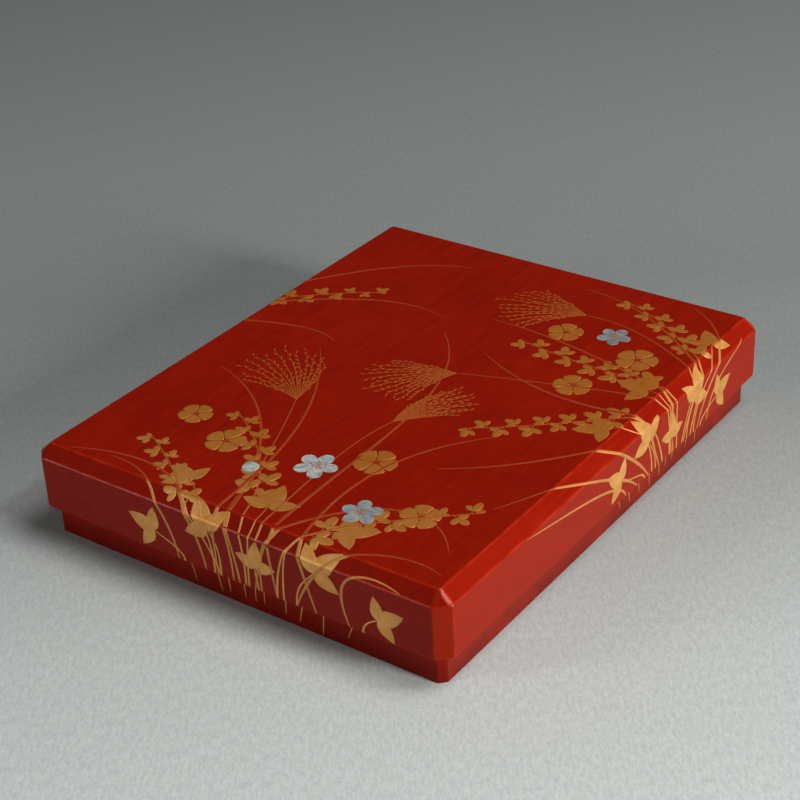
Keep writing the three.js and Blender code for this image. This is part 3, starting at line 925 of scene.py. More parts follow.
def eased_copy(node: str, name: str, width: float, finish: bpy.types.Material, ware: Ware,
               body: str, drop: float = 0.0) -> bpy.types.Object:
    """Replaces a CAD node with a copy of itself whose edges are rounded.

    Args:
        node: the CAD node.
        name: the new piece's name.
        width: how far the rounding reaches on each face.
        finish: its material.
        ware: its slot.
        body: the body that it rides on.
        drop: how far its top is rubbed down.

    Returns:
        The dressed piece.
    """
    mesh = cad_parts[node].data.copy()
    mesh.name = name
    work = bmesh.new()
    work.from_mesh(mesh)
    bmesh.ops.remove_doubles(work, verts=work.verts, dist=1e-6)
    bmesh.ops.dissolve_limit(work, angle_limit=math.radians(2), verts=work.verts, edges=work.edges)
    top = max(vertex.co.z for vertex in work.verts) - drop * MM
    for vertex in work.verts:
        vertex.co.z = min(vertex.co.z, top)
    work.to_mesh(mesh)
    work.free()
    imported_normals = mesh.attributes.get("custom_normal")
    if imported_normals:
        mesh.attributes.remove(imported_normals)
    mesh.polygons.foreach_set("use_smooth", np.ones(len(mesh.polygons), bool))
    made = linked(name, mesh)
    ease_edges(made, width)
    return dress(made, finish, ware, body, [node])


# Outlines

def cut_rectangle(half_width: float, half_length: float, cut: float) -> np.ndarray:
    """A rectangle whose corners are cut at 45 degrees.

    Args:
        half_width: half its size to the right.
        half_length: half its size to the back.
        cut: how much of each side a cut takes.

    Returns:
        The eight corners, anticlockwise from the front right.
    """
    w, l = half_width, half_length
    return np.array([[w - cut, -l], [w, cut - l], [w, l - cut], [w - cut, l],
                     [cut - w, l], [-w, l - cut], [-w, cut - l], [cut - w, -l]])


def round_rectangle(half: Sequence[float], radius: float, steps: int) -> np.ndarray:
    """A rectangle with round corners. A corner's points are its centre plus radius * (cos, sin).

    Args:
        half: half its size to the right and to the back.
        radius: the corners' radius.
        steps: how many steps there are round a corner.

    Returns:
        The four corners' points, as 4 by steps + 1 by 2, anticlockwise from the front right.
    """
    corners = []
    for quarter, signs in enumerate([(1, -1), (1, 1), (-1, 1), (-1, -1)]):
        angle = np.linspace(0, np.pi / 2, steps + 1) + (quarter - 1) * np.pi / 2
        centre = np.array(signs) * (np.array(half) - radius)
        corners.append(centre + radius * np.stack([np.cos(angle), np.sin(angle)], -1))
    return np.stack(corners)


def stations(half: Sequence[float], radius: float, steps: int, sides: int,
             ends: int) -> np.ndarray:
    """A round rectangle with points spread evenly along its straight parts too.

    Args:
        half: half its size to the right and to the back.
        radius: the corners' radius.
        steps: how many steps there are round a corner.
        sides: how many points there are along the right and the left, between the corners.
        ends: how many there are along the back and the front.

    Returns:
        The points, anticlockwise from the front right.
    """
    corners = round_rectangle(half, radius, steps)
    outline = []
    for k, count in enumerate((sides, ends, sides, ends)):
        start, stop = corners[k][-1], corners[(k + 1) % 4][0]
        share = np.linspace(0, 1, count + 2)[1:-1, None]
        outline += [corners[k], start * (1 - share) + stop * share]
    return np.concatenate(outline)


def level_ring(outline: np.ndarray, z: float | np.ndarray) -> np.ndarray:
    """An outline lifted to one height, or each of its points to its own."""
    return np.column_stack([outline, np.broadcast_to(z, len(outline))])


def facet_rings(half_width: float, half_length: float,
                profile: Sequence[tuple[float, float]]) -> np.ndarray:
    """Rings of eight points round the lid or the base.

    A corner facet's side gets shorter by (2 - sqrt 2) times what its outline moves in.

    Args:
        half_width: half the piece's size to the right.
        half_length: half its size to the back.
        profile: how far each ring lies inside the piece's outline, and its height.

    Returns:
        The points, as rings by 8 by 3.
    """
    rings = []
    for inset, z in profile:
        moved = HALF_WIDTH - half_width + inset
        cut = max(CORNER_CUT - moved * (2 - math.sqrt(2)), 0.05)
        rings.append(level_ring(cut_rectangle(half_width - inset, half_length - inset, cut), z))
    return np.stack(rings)


# The lid and the base

@dataclass
class Lid:
    """The lid: one lacquered shell with sloping edges and faceted corners, and a dark lining."""

    finish: bpy.types.Material
    lining_finish: bpy.types.Material
    pearl_finish: bpy.types.Material
    lining: float = 0.2  # how thick the lining is
    lining_drop: float = 1.4  # how far above the rim it ends
    corner_ease: float = 1.5  # how far the rounding of a corner triangle's upper edges reaches
    pearl_ease: float = 0.04
    pearl_drop: float = 0.03
    nodes: tuple = ("lid_top_board", "lid_front_wall", "lid_back_wall", "lid_left_wall",
                    "lid_right_wall")
    pearls: tuple = ("pearl_blossom_1", "pearl_blossom_2", "pearl_blossom_3", "pearl_bud")

    def shell(self) -> bpy.types.Object:
        """The lacquered shell: rings from the ceiling down, round the rim and up to the chamfer.

        Each corner of the flat top is joined to a corner facet's upper edge by a triangle. The
        arrises are eased evenly, but for the two upper edges of each triangle, which are rounder.

        Returns:
            The dressed piece.
        """
        deep = WALL - self.lining
        rings = facet_rings(HALF_WIDTH, HALF_LENGTH, [
            (deep, CEILING_Z + self.lining), (deep, RIM_Z), (0, RIM_Z), (0, LAND_Z)])
        top = cut_rectangle(FLAT_HALF_WIDTH, FLAT_HALF_LENGTH, 0)[::2]
        rows, columns = rings.shape[:2]
        land, peak = (rows - 1) * columns, rows * columns  # first points of the land and the top
        faces = wrapped_faces(rows, columns).tolist()
        faces.append(list(range(columns))[::-1])
        for corner in range(4):
            first, after = 2 * corner, (corner + 1) % 4
            faces.append([land + first, land + first + 1, peak + corner])
            faces.append([land + first + 1, land + (first + 2) % columns, peak + after,
                          peak + corner])
        faces.append([peak, peak + 1, peak + 2, peak + 3])
        points = np.concatenate([rings.reshape(-1, 3), level_ring(top, LID_TOP_Z)])
        made = cast("lid_shell", points, faces)
        ends = np.empty(2 * len(made.data.edges), dtype=np.int32)
        made.data.edges.foreach_get("vertices", ends)
        low, high = np.sort(ends.reshape(-1, 2), 1).T
        rounder = (low >= land) & (low < peak) & (high >= peak)
        weights = np.where(rounder, 1, EASE / self.corner_ease)
        write_tag(made, "bevel_weight_edge", weights, "EDGE")
        ease_edges(made, self.corner_ease, 4).limit_method = "WEIGHT"
        return dress(made, self.finish, Ware.RED, "lid", self.nodes)

    def inside(self) -> bpy.types.Object:
        """The dark skin on the ceiling and the inner walls, as a thin tray with its mouth down.

        Returns:
            The dressed piece.
        """
        low, deep = RIM_Z + self.lining_drop, WALL - self.lining
        rings = facet_rings(HALF_WIDTH, HALF_LENGTH, [
            (WALL, CEILING_Z), (WALL, low), (deep, low), (deep, CEILING_Z + self.lining)])
        made = tube("lid_lining", rings, smooth=False)
        return dress(made, self.lining_finish, Ware.BLACK, "lid")

    def build(self) -> None:
        """Makes the shell, the lining and the inlays, whose tops are rubbed down a little."""
        self.shell()
        self.inside()
        for node in self.pearls:
            eased_copy(node, node + "_polished", self.pearl_ease, self.pearl_finish, Ware.PEARL,
                       "lid", self.pearl_drop)


@dataclass
class Base:
    """The base: a lacquered shell that stands inside the lid's walls, and its dark lining."""

    finish: bpy.types.Material
    lining_finish: bpy.types.Material
    lining: float = 0.2  # how thick the lining is
    lining_drop: float = 1.2  # how far below the base's top it ends
    nodes: tuple = ("base_front_wall", "base_back_wall", "base_left_wall", "base_right_wall")

    def build(self) -> None:
        """Makes the shell from the underside up and down the inside, and the lining."""
        deep, floor = WALL - self.lining, FLOOR_Z - self.lining
        rings = facet_rings(BASE_HALF_WIDTH, BASE_HALF_LENGTH, [
            (0, 0), (0, BASE_TOP_Z), (deep, BASE_TOP_Z), (deep, floor)])
        shell = tube("base_shell", rings)
        ease_edges(shell, EASE, 4)
        dress(shell, self.finish, Ware.RED, "base", self.nodes)
        high = BASE_TOP_Z - self.lining_drop
        rings = facet_rings(BASE_HALF_WIDTH, BASE_HALF_LENGTH, [
            (deep, floor), (deep, high), (WALL, high), (WALL, FLOOR_Z)])
        lining = tube("base_lining", rings, smooth=False)
        dress(lining, self.lining_finish, Ware.BLACK, "base", ["base_floor_board"])


# Gold pictures

@dataclass(frozen=True)
class Fold:
    """The unfolded skin of the lid: flat top, chamfer and wall, with rounded arrises between."""

    step: float = 0.02

    def path(self) -> tuple[np.ndarray, np.ndarray, np.ndarray, np.ndarray]:
        """The way along the skin from just inside the top's arris to the rim.

        The heading is 0 on the top, the chamfer's slope on the chamfer and a right angle on the
        wall. It changes at a steady rate over each arris, whose radius is the rounding's reach over
        the tangent of half its turn. The run and the drop are the sums of the heading's cosine and
        sine.

        Returns:
            Distance along the skin, outward run, drop and heading at each step.
        """
        slope = math.atan2(CHAMFER_DOWN, CHAMFER_IN)
        bends = np.array([slope, math.pi / 2 - slope])
        arcs = EASE / np.tan(bends / 2) * bends
        flat = math.hypot(CHAMFER_IN, CHAMFER_DOWN) - 2 * EASE
        turns = np.cumsum([-EASE, arcs[0], flat, arcs[1], LAND_Z - RIM_Z + 1])
        distance = np.arange(turns[0], turns[-1], self.step)
        heading = np.interp(distance, turns[:4], [0, slope, slope, math.pi / 2])
        run = turns[0] + np.concatenate([[0], np.cumsum(np.cos(heading[:-1]) * self.step)])
        drop = np.concatenate([[0], np.cumsum(np.sin(heading[:-1]) * self.step)])
        return distance, run, drop, heading

    def lay(self, u: np.ndarray, v: np.ndarray, height: np.ndarray) -> np.ndarray:
        """Points of the flat picture laid on the lid.

        Args:
            u: distance to the right of the lid's middle, along the unfolded skin.
            v: distance to the back of it.
            height: how far each point stands off the lacquer.

        Returns:
            The points, with a last axis of three.
        """
        distance, run, drop, heading = self.path()
        point = np.zeros(np.broadcast(u, v).shape + (3,))
        normal = np.zeros_like(point)
        point[..., 2] = LID_TOP_Z
        level = np.ones(point.shape[:-1])
        for axis, place, flat in ((0, u, FLAT_HALF_WIDTH), (1, v, FLAT_HALF_LENGTH)):
            beyond = np.abs(place) - flat
            side = np.sign(place)
            outward = np.where(beyond > distance[0], np.interp(beyond, distance, run), beyond)
            turn = np.interp(beyond, distance, heading)
            point[..., axis] = side * (flat + outward)
            point[..., 2] -= np.interp(beyond, distance, drop)
            normal[..., axis] = side * np.sin(turn)
            level = level * np.cos(turn)
        normal[..., 2] = level
        normal /= np.linalg.norm(normal, axis=-1, keepdims=True)
        return point + normal * np.asarray(height)[..., None]


@dataclass(frozen=True)
class BaseWall:
    """The base's outside, on which the picture's stems go on below the lid's rim."""

    turn_right: float = 1000.0  # how much is added to a height on the right wall

    def lay(self, u: np.ndarray, v: np.ndarray, height: np.ndarray) -> np.ndarray:
        """Points of the flat picture laid on the front wall and the right wall.

        Args:
            u: place along the wall.
            v: height on the front wall, or turn_right more on the right wall.
            height: how far each point stands off the lacquer.

        Returns:
            The points, with a last axis of three.
        """
        on_right = v > self.turn_right / 2
        z = v - np.where(on_right, self.turn_right, 0)
        front = np.stack([u, -BASE_HALF_LENGTH - height, z], -1)
        right = np.stack([BASE_HALF_WIDTH + height, u, z], -1)
        return np.where(on_right[..., None], right, front)


class Cut(Enum):
    """How a stroke's width changes along it: each is a formula of the share of its length."""

    BLADE = "blade"
    STEM = "stem"
    OVAL = "oval"
    POINTED = "pointed"
    PETAL = "petal"
    DROP = "drop"

    def width(self, t: np.ndarray) -> np.ndarray:
        """The stroke's width.

        Args:
            t: shares of the stroke's length.

        Returns:
            The width there, as a share of the widest.
        """
        shapes = {
            Cut.BLADE: lambda s: 1.2 * np.minimum(1, 0.4 + 3 * s) * (1 - s) ** 0.4,
            Cut.STEM: lambda s: 1 - 0.55 * s,
            Cut.OVAL: lambda s: np.sqrt(np.clip(4 * s * (1 - s), 0, 1)),
            Cut.POINTED: lambda s: 2.1 * s ** 0.62 * (1 - s) ** 0.95 * (1 + 0.2 * (1 - s)),
            Cut.PETAL: lambda s: np.clip(1.25 * s ** 0.75 * (1 - s ** 7), 0, 1),
            Cut.DROP: lambda s: np.sqrt(np.clip(s * (1 - s ** 3), 0, 1)) * 1.4,
        }
        return shapes[self](t)


Curve = Sequence[Sequence[float]]  # the four points of a cubic curve on the unfolded skin


def cubic(points: Sequence[np.ndarray], t: np.ndarray | float) -> np.ndarray:
    """Places on cubic curves: (1-t)^3 A + 3(1-t)^2 t B + 3(1-t) t^2 C + t^3 D.

    Args:
        points: A, B, C and D, each an array with a place in its last axis.
        t: shares of the way from A to D, in a shape that goes with theirs.

    Returns:
        The places.
    """
    a, b, c, d = points
    return (1 - t) ** 3 * a + 3 * (1 - t) ** 2 * t * b + 3 * (1 - t) * t ** 2 * c + t ** 3 * d


def along(points: Curve, t: float) -> tuple[np.ndarray, float]:
    """Finds a place on a curve.

    Args:
        points: the curve.
        t: the share of its way.

    Returns:
        The place, and the curve's direction there in degrees.
    """
    a, b, c, d = np.array(points, float)
    speed = 3 * (1 - t) ** 2 * (b - a) + 6 * (1 - t) * t * (c - b) + 3 * t ** 2 * (d - c)
    return cubic((a, b, c, d), t), math.degrees(math.atan2(speed[1], speed[0]))


def bend(start: Sequence[float], angle: float, length: float, curl: float = 0.0) -> Curve:
    """A short curve that leaves a place at an angle and turns on its way.

    Args:
        start: where it starts.
        angle: the direction at its start, in degrees from the right.
        length: its length along the chords.
        curl: how far it has turned at its end, in degrees.

    Returns:
        The curve.
    """
    points = [tuple(start)]
    for share in (0.17, 0.5, 0.83):
        turned = math.radians(angle + curl * share)
        x, y = points[-1]
        points.append((x + length / 3 * math.cos(turned), y + length / 3 * math.sin(turned)))
    return points


@dataclass
class Stroke:
    """One touch of the brush: a curve, its width and cut, and how dense and leafy it is."""

    points: Curve
    width: float
    cut: Cut
    tone: float
    leafy: float = 0.0


@dataclass
class Picture:
    """A set of strokes made into one raised gold piece."""

    name: str
    skin: Fold | BaseWall
    body: str
    finish: bpy.types.Material
    relief: float  # how high a stroke's middle stands off the lacquer
    rows: int  # points along a stroke
    sunk: float = 0.12  # how deep its underside lies in the lacquer
    overlap: float = 0.006  # how much higher each stroke is than the one before
    cycle: int = 7  # how many strokes there are before the heights start again
    across: int = 5  # points across its crown
    strokes: list[Stroke] = field(default_factory=list)

    def solid(self, lanes: np.ndarray, t: np.ndarray) -> np.ndarray:
        """The points of all strokes.

        Each stroke's centre line is given its width, and its crown is a flat arch. It is a little
        higher than the stroke before, in a cycle, so that no two meet level.

        Args:
            lanes: places across a stroke, -1 to 1; those after the crown's are on its underside.
            t: shares of its length.

        Returns:
            The points, as strokes by rows by lanes by 3.
        """
        ends = np.array([stroke.points for stroke in self.strokes], float)
        line = cubic(np.moveaxis(ends, 1, 0)[:, :, None], t[None, :, None])
        ahead = np.gradient(line, axis=1)
        ahead /= np.maximum(np.linalg.norm(ahead, axis=-1, keepdims=True), 1e-9)
        beside = np.stack([ahead[..., 1], -ahead[..., 0]], -1)
        widths = np.array([stroke.width / 2 * np.maximum(stroke.cut.width(t), 0.03)
                           for stroke in self.strokes])
        flat = line[:, :, None] + beside[:, :, None] * (widths[..., None] * lanes)[..., None]
        steps = np.arange(len(self.strokes)) % self.cycle * self.overlap
        crown = self.relief * (1 - 0.3 * lanes ** 2) + steps[:, None, None]
        heights = np.where(np.arange(len(lanes)) < self.across, crown, -self.sunk)
        return self.skin.lay(flat[..., 0], flat[..., 1],
                             np.broadcast_to(heights, flat.shape[:-1]))

    def build(self) -> bpy.types.Object:
        """Makes every stroke a thin closed strip with its edges under the lacquer.

        Its sides are shaded flat, so that it looks level right up to its edge.

        Returns:
            The dressed piece.
        """
        lanes = np.concatenate([np.linspace(-1, 1, self.across), [1, -1]])
        t = np.linspace(0, 1, self.rows)
        solid = self.solid(lanes, t)
        shape = solid.shape[:-1]
        count, rows, columns = shape
        per = rows * columns
        quads = wrapped_faces(rows, columns) + np.arange(count)[:, None, None] * per
        faces = quads.reshape(-1, 4).tolist()
        for start in range(0, count * per, per):
            faces.append([start + i for i in range(columns - 1, -1, -1)])
            faces.append([start + per - columns + i for i in range(columns)])
        crowns = np.tile(np.arange(columns) < self.across - 1, (rows - 1) * count)
        made = cast(self.name, solid, faces, np.concatenate([crowns, np.zeros(2 * count, bool)]))
        write_lanes(made, np.broadcast_to(lanes / 2 + 0.5, shape),
                    np.broadcast_to(t[:, None], shape))
        for name in ("tone", "leafy"):
            values = np.array([getattr(stroke, name) for stroke in self.strokes])
            write_tag(made, name, np.broadcast_to(values[:, None, None], shape), "POINT")
        return dress(made, self.finish, Ware.RED, self.body)


@dataclass
class AutumnMeadow:
    """The gold picture: grasses, bush clover, broad vine leaves, pampas plumes and blossoms.

    Places are on the unfolded skin, to the right and to the back of the lid's middle. The stems of
    the front and the right rise from two tufts at the lid's rim.
    """

    finish: bpy.types.Material
    seed: int = 11
    spread: float = 1.5  # how much wider a tuft is at the rim than it is written below
    front_middle: float = 12.0
    right_middle: float = 40.0
    down: float = math.hypot(CHAMFER_IN, CHAMFER_DOWN) + LAND_Z - RIM_Z - 0.35  # top to rim
    bare: float = 0.42  # the share of a clover's stem that bears no leaves
    clover_tone: float = 0.72
    strands: int = 13
    petal_count: int = 5
    stamen_count: int = 9

    def __post_init__(self) -> None:
        """Starts an empty picture of each kind and the seeded chance that varies them."""
        self.rim, self.side_rim = FLAT_HALF_LENGTH + self.down, FLAT_HALF_WIDTH + self.down
        self.chance = np.random.default_rng(self.seed)
        lid = {"skin": Fold(), "body": "lid", "finish": self.finish}
        self.blades = Picture("gold_grasses", rows=110, relief=0.06, **lid)
        self.stems = Picture("gold_stems", rows=70, relief=0.065, **lid)
        self.leaves = Picture("gold_leaves", rows=34, across=17, relief=0.055, **lid)
        self.leaflets = Picture("gold_leaflets", rows=14, across=7, relief=0.05, **lid)
        self.petals = Picture("gold_blossoms", rows=16, across=9, relief=0.06, **lid)
        self.plumes = Picture("gold_plumes", rows=26, relief=0.055, **lid)
        self.stamens = Picture("gold_stamens", rows=8, relief=0.138, overlap=0.002, **lid)
        self.roots = Picture("gold_base_stems", BaseWall(), "base", self.finish, rows=8,
                             relief=0.09)

    def front(self, u: float) -> tuple[float, float]:
        """A root on the lid's rim at the front, where the tuft is spread out round its middle."""
        return self.front_middle + (u - self.front_middle) * self.spread, -self.rim

    def right(self, v: float) -> tuple[float, float]:
        """A root on the lid's rim at the right, spread out in the same way."""
        return self.side_rim, self.right_middle + (v - self.right_middle) * self.spread

    def stem(self, points: Curve, width: float, tone: float) -> None:
        """Adds one thin stem."""
        self.stems.strokes.append(Stroke(points, width, Cut.STEM, tone))

    def clover(self, points: Curve, pairs: int, size: float) -> None:
        """Adds a branch of bush clover: leaves in threes at both sides, smaller to its tip.

        Args:
            points: the stem's curve.
            pairs: how many threes there are at each side.
            size: length of the largest leaflet.
        """
        tone = self.clover_tone
        self.stem(points, 1.0, tone - 0.1)
        for i in range(pairs * 2):
            share = self.bare + (0.97 - self.bare) * i / (pairs * 2 - 1)
            place, heading = along(points, share)
            side = 1 if i % 2 else -1
            grow = size * (1 - 0.42 * share) * self.chance.uniform(0.88, 1.12)
            lean = heading + side * self.chance.uniform(52, 68)
            stalk = bend(place, lean, grow * 0.42, -side * 14)
            self.stem(stalk, 0.5, tone - 0.1)
            tip, out = along(stalk, 1)
            for turn, part in ((0, 1.0), (70, 0.78), (-70, 0.78)):
                curve = bend(tip, out + turn, grow * part, self.chance.uniform(-10, 10))
                density = tone + self.chance.uniform(-0.12, 0.12)
                self.leaflets.strokes.append(
                    Stroke(curve, grow * 0.6 * part, Cut.OVAL, density, 1.0))

    def vine_leaf(self, root: Sequence[float], at: Sequence[float], angle: float,
                  size: float) -> None:
        """Adds a broad leaf of three pointed leaflets that overlap at their stalk.

        The stalk leaves the rim squarely and meets the leaf along its middle.

        Args:
            root: where the stalk leaves the rim.
            at: where it meets the leaf.
            angle: the leaf's direction, in degrees from the right.
            size: the leaf's length.
        """
        turned = math.radians(angle)
        if abs(root[0]) > FLAT_HALF_WIDTH:
            leave = (root[0] * 0.5 + at[0] * 0.5, root[1])
        else:
            leave = (root[0], root[1] * 0.5 + at[1] * 0.5)
        reach = 0.4 * math.dist(root, at)
        arrive = (at[0] - reach * math.cos(turned), at[1] - reach * math.sin(turned))
        self.stem([root, leave, arrive, at], 0.95, 0.65)
        for turn, share in ((0, 1.0), (66, 0.82), (-66, 0.82)):
            curve = bend(at, angle + turn, size * share, turn * 0.25)
            density = 0.85 + self.chance.uniform(-0.1, 0.06)
            self.leaves.strokes.append(
                Stroke(curve, size * 0.68 * share, Cut.POINTED, density, 1.0))

    def plume(self, stem: Curve, angle: float, size: float) -> None:
        """Adds a pampas plume: strands that leave a stem's tip and droop to the same side.

        Args:
            stem: the stem's curve.
            angle: the plume's direction, in degrees from the right.
            size: the longest strand's length.
        """
        self.stem(stem, 1.0, 0.5)
        droop = -1 if math.cos(math.radians(angle)) > 0 else 1
        for i in range(self.strands):
            share = i / (self.strands - 1)
            lean = angle + (share - 0.5) * 58
            full = size * (0.72 + 0.28 * math.sin(math.pi * share))
            length = full * self.chance.uniform(0.9, 1.1)
            curve = bend(stem[-1], lean, length, droop * (22 + 30 * share))
            self.plumes.strokes.append(Stroke(curve, 0.55, Cut.BLADE, 0.58))
            for place in np.linspace(0.3, 0.98, 9):
                seed, heading = along(curve, place)
                ear = bend(seed, heading + self.chance.choice([-28, 28]), 2.3)
                self.plumes.strokes.append(Stroke(ear, 0.62, Cut.OVAL, 0.68))

    def blossom(self, at: Sequence[float], radius: float, turn: float) -> None:
        """Adds a round open blossom: petals round a small ring of stamens.

        Args:
            at: its middle.
            radius: its size.
            turn: the direction of its first petal, in degrees from the right.
        """
        centre = np.array(at)
        for i in range(self.petal_count):
            angle = turn + i * 360 / self.petal_count
            way = np.array([math.cos(math.radians(angle)), math.sin(math.radians(angle))])
            petal = bend(centre + way * radius * 0.12, angle, radius * 0.88)
            density = 0.9 + self.chance.uniform(-0.12, 0.05)
            self.petals.strokes.append(Stroke(petal, radius * 1.06, Cut.PETAL, density, 0.6))
        for i in range(self.stamen_count):
            stamen = bend(centre, turn + 20 + i * 360 / self.stamen_count, radius * 0.34)
            self.petals.strokes.append(Stroke(stamen, 0.4, Cut.DROP, 0.4))

    def lay_grasses(self) -> None:
        """The long arching blades of both tufts and of the single tuft at the left."""
        front, right, left = self.front, self.right, -self.side_rim
        for curve, width in (
            ([front(6), (2, -104), (-26, -46), (-76, -34)], 1.3),
            ([front(13), (22, -98), (58, -62), (84, -98)], 1.3),
            ([front(20), (10, -78), (34, 2), (-12, 40)], 1.3),
            ([front(-3), (-16, -112), (-46, -98), (-84, -116)], 1.3),
            ([front(1), (-8, -100), (-4, -52), (-50, 2)], 1.2),
            ([front(32), (30, -112), (14, -62), (56, -22)], 1.2),
            ([front(26), (44, -118), (70, -102), (90, -111)], 1.1),
            ([front(-12), (-28, -124), (-44, -110), (-66, -112)], 1.0),
            ([front(42), (48, -126), (60, -119), (80, -124)], 1.0),
            ([right(40), (98, 36), (54, 62), (0, 60)], 1.3),
            ([right(48), (94, 62), (66, 106), (20, 106)], 1.3),
            ([right(34), (98, 20), (60, 4), (12, 34)], 1.3),
            ([right(28), (100, 6), (86, -32), (48, -54)], 1.2),
            ([right(56), (98, 74), (96, 102), (70, 114)], 1.1),
            ([right(22), (108, -2), (98, -36), (82, -66)], 1.1),
            ([right(16), (112, 0), (108, -34), (101, -70)], 1.0),
            ([right(62), (108, 74), (104, 92), (99, 106)], 1.0),
            ([(left, 6), (-98, 14), (-58, 66), (-18, 50)], 1.2),
            ([(left, 14), (-100, 26), (-80, 88), (-34, 98)], 1.1),
            ([(left, 0), (-98, -6), (-70, 22), (-46, 8)], 1.1),
        ):
            self.blades.strokes.append(Stroke(curve, width * 1.2, Cut.BLADE, 0.42))

    def lay_branches(self) -> None:
        """Clover branches, vine leaves at their feet, plumes and blossoms."""
        front, right, left = self.front, self.right, -self.side_rim
        for curve, pairs, size in (
            ([front(10), (10, -112), (-4, -84), (-44, -60)], 6, 9.2),
            ([front(20), (24, -118), (44, -100), (80, -70)], 6, 9.0),
            ([front(2), (-12, -124), (-34, -108), (-62, -92)], 5, 8.0),
            ([right(44), (98, 46), (66, 42), (22, 50)], 6, 9.2),
            ([right(52), (94, 66), (80, 92), (44, 104)], 5, 8.8),
            ([right(36), (96, 28), (78, 0), (40, -24)], 6, 9.0),
            ([(left, 8), (-100, 16), (-82, 44), (-56, 56)], 4, 7.5),
        ):
            self.clover(curve, pairs, size)
        for root, at, angle, size in (
            (front(-10), (-36, -138), 160, 13), (front(2), (-8, -128), 128, 15),
            (front(14), (14, -137), 84, 12), (front(26), (42, -129), 48, 15),
            (front(46), (70, -139), 26, 12.5), (front(11), (10, -108), 104, 15),
            (front(0), (-28, -109), 152, 13), (front(22), (44, -107), 32, 14),
            (right(26), (114, 0), 238, 12.5), (right(32), (107, 22), 206, 14.5),
            (right(42), (115, 42), 180, 11.5), (right(50), (107, 61), 148, 15),
            (right(58), (115, 82), 112, 12.5), (right(40), (88, 40), 176, 15),
            (right(54), (92, 88), 128, 12.5), (right(30), (88, 5), 214, 13),
        ):
            self.vine_leaf(root, at, angle, size)
        for stem, angle, size in (
            ([front(8), (2, -118), (-14, -74), (-30, -40)], 122, 44),
            ([front(15), (16, -108), (6, -62), (14, -34)], 84, 38),
            ([right(47), (98, 58), (70, 88), (34, 84)], 176, 40),
            ([right(41), (96, 38), (54, 26), (14, 12)], 206, 38),
        ):
            self.plume(stem, angle, size)
        for at, radius, turn in (
            ((26, -62), 9.0, 12), ((62, -84), 8.2, 40), ((-34, -80), 8.6, 30),
            ((-58, -70), 7.4, 8), ((72, 60), 9.2, 20), ((60, 28), 8.4, 50), ((34, 66), 8.0, 33),
        ):
            self.blossom(at, radius, turn)

    def lay_stamens(self) -> None:
        """Fine gold stamens on the shell blossoms, in turns short and long."""
        for node in ("pearl_blossom_1", "pearl_blossom_2", "pearl_blossom_3"):
            centre, half, _, _ = footprint(node)
            for i in range(10):
                stamen = bend(centre, i * 36 + 8, half[0] * (0.46 if i % 2 else 0.34))
                self.stamens.strokes.append(Stroke(stamen, 0.56, Cut.DROP, 0.7))

    def lay_roots(self) -> None:
        """The stems that go on down the base, one under each root on the rim."""
        high, low = RIM_Z + 3, 0.9
        for places, middle, shift in (
            ((-12, -3, 1, 6, 10, 13, 20, 26, 32, 42), self.front_middle, 0),
            ((16, 22, 28, 34, 40, 44, 48, 56, 62), self.right_middle, self.roots.skin.turn_right),
        ):
            for place in (middle + (place - middle) * self.spread for place in places):
                end = place + (middle - place) * self.chance.uniform(0.04, 0.16)
                stop = low + self.chance.uniform(0, 4)
                steps = [(place + (end - place) * t, shift + high + (stop - high) * t)
                         for t in (0, 0.33, 0.66, 1)]
                width = self.chance.uniform(0.7, 1.0)
                self.roots.strokes.append(Stroke(steps, width, Cut.STEM, 0.6))

    def build(self) -> None:
        """Lays out the whole picture and makes its pieces."""
        self.lay_grasses()
        self.lay_branches()
        self.lay_stamens()
        self.lay_roots()
        for picture in (self.blades, self.stems, self.leaves, self.leaflets, self.petals,
                        self.plumes, self.stamens, self.roots):
            picture.build()


# What lies inside

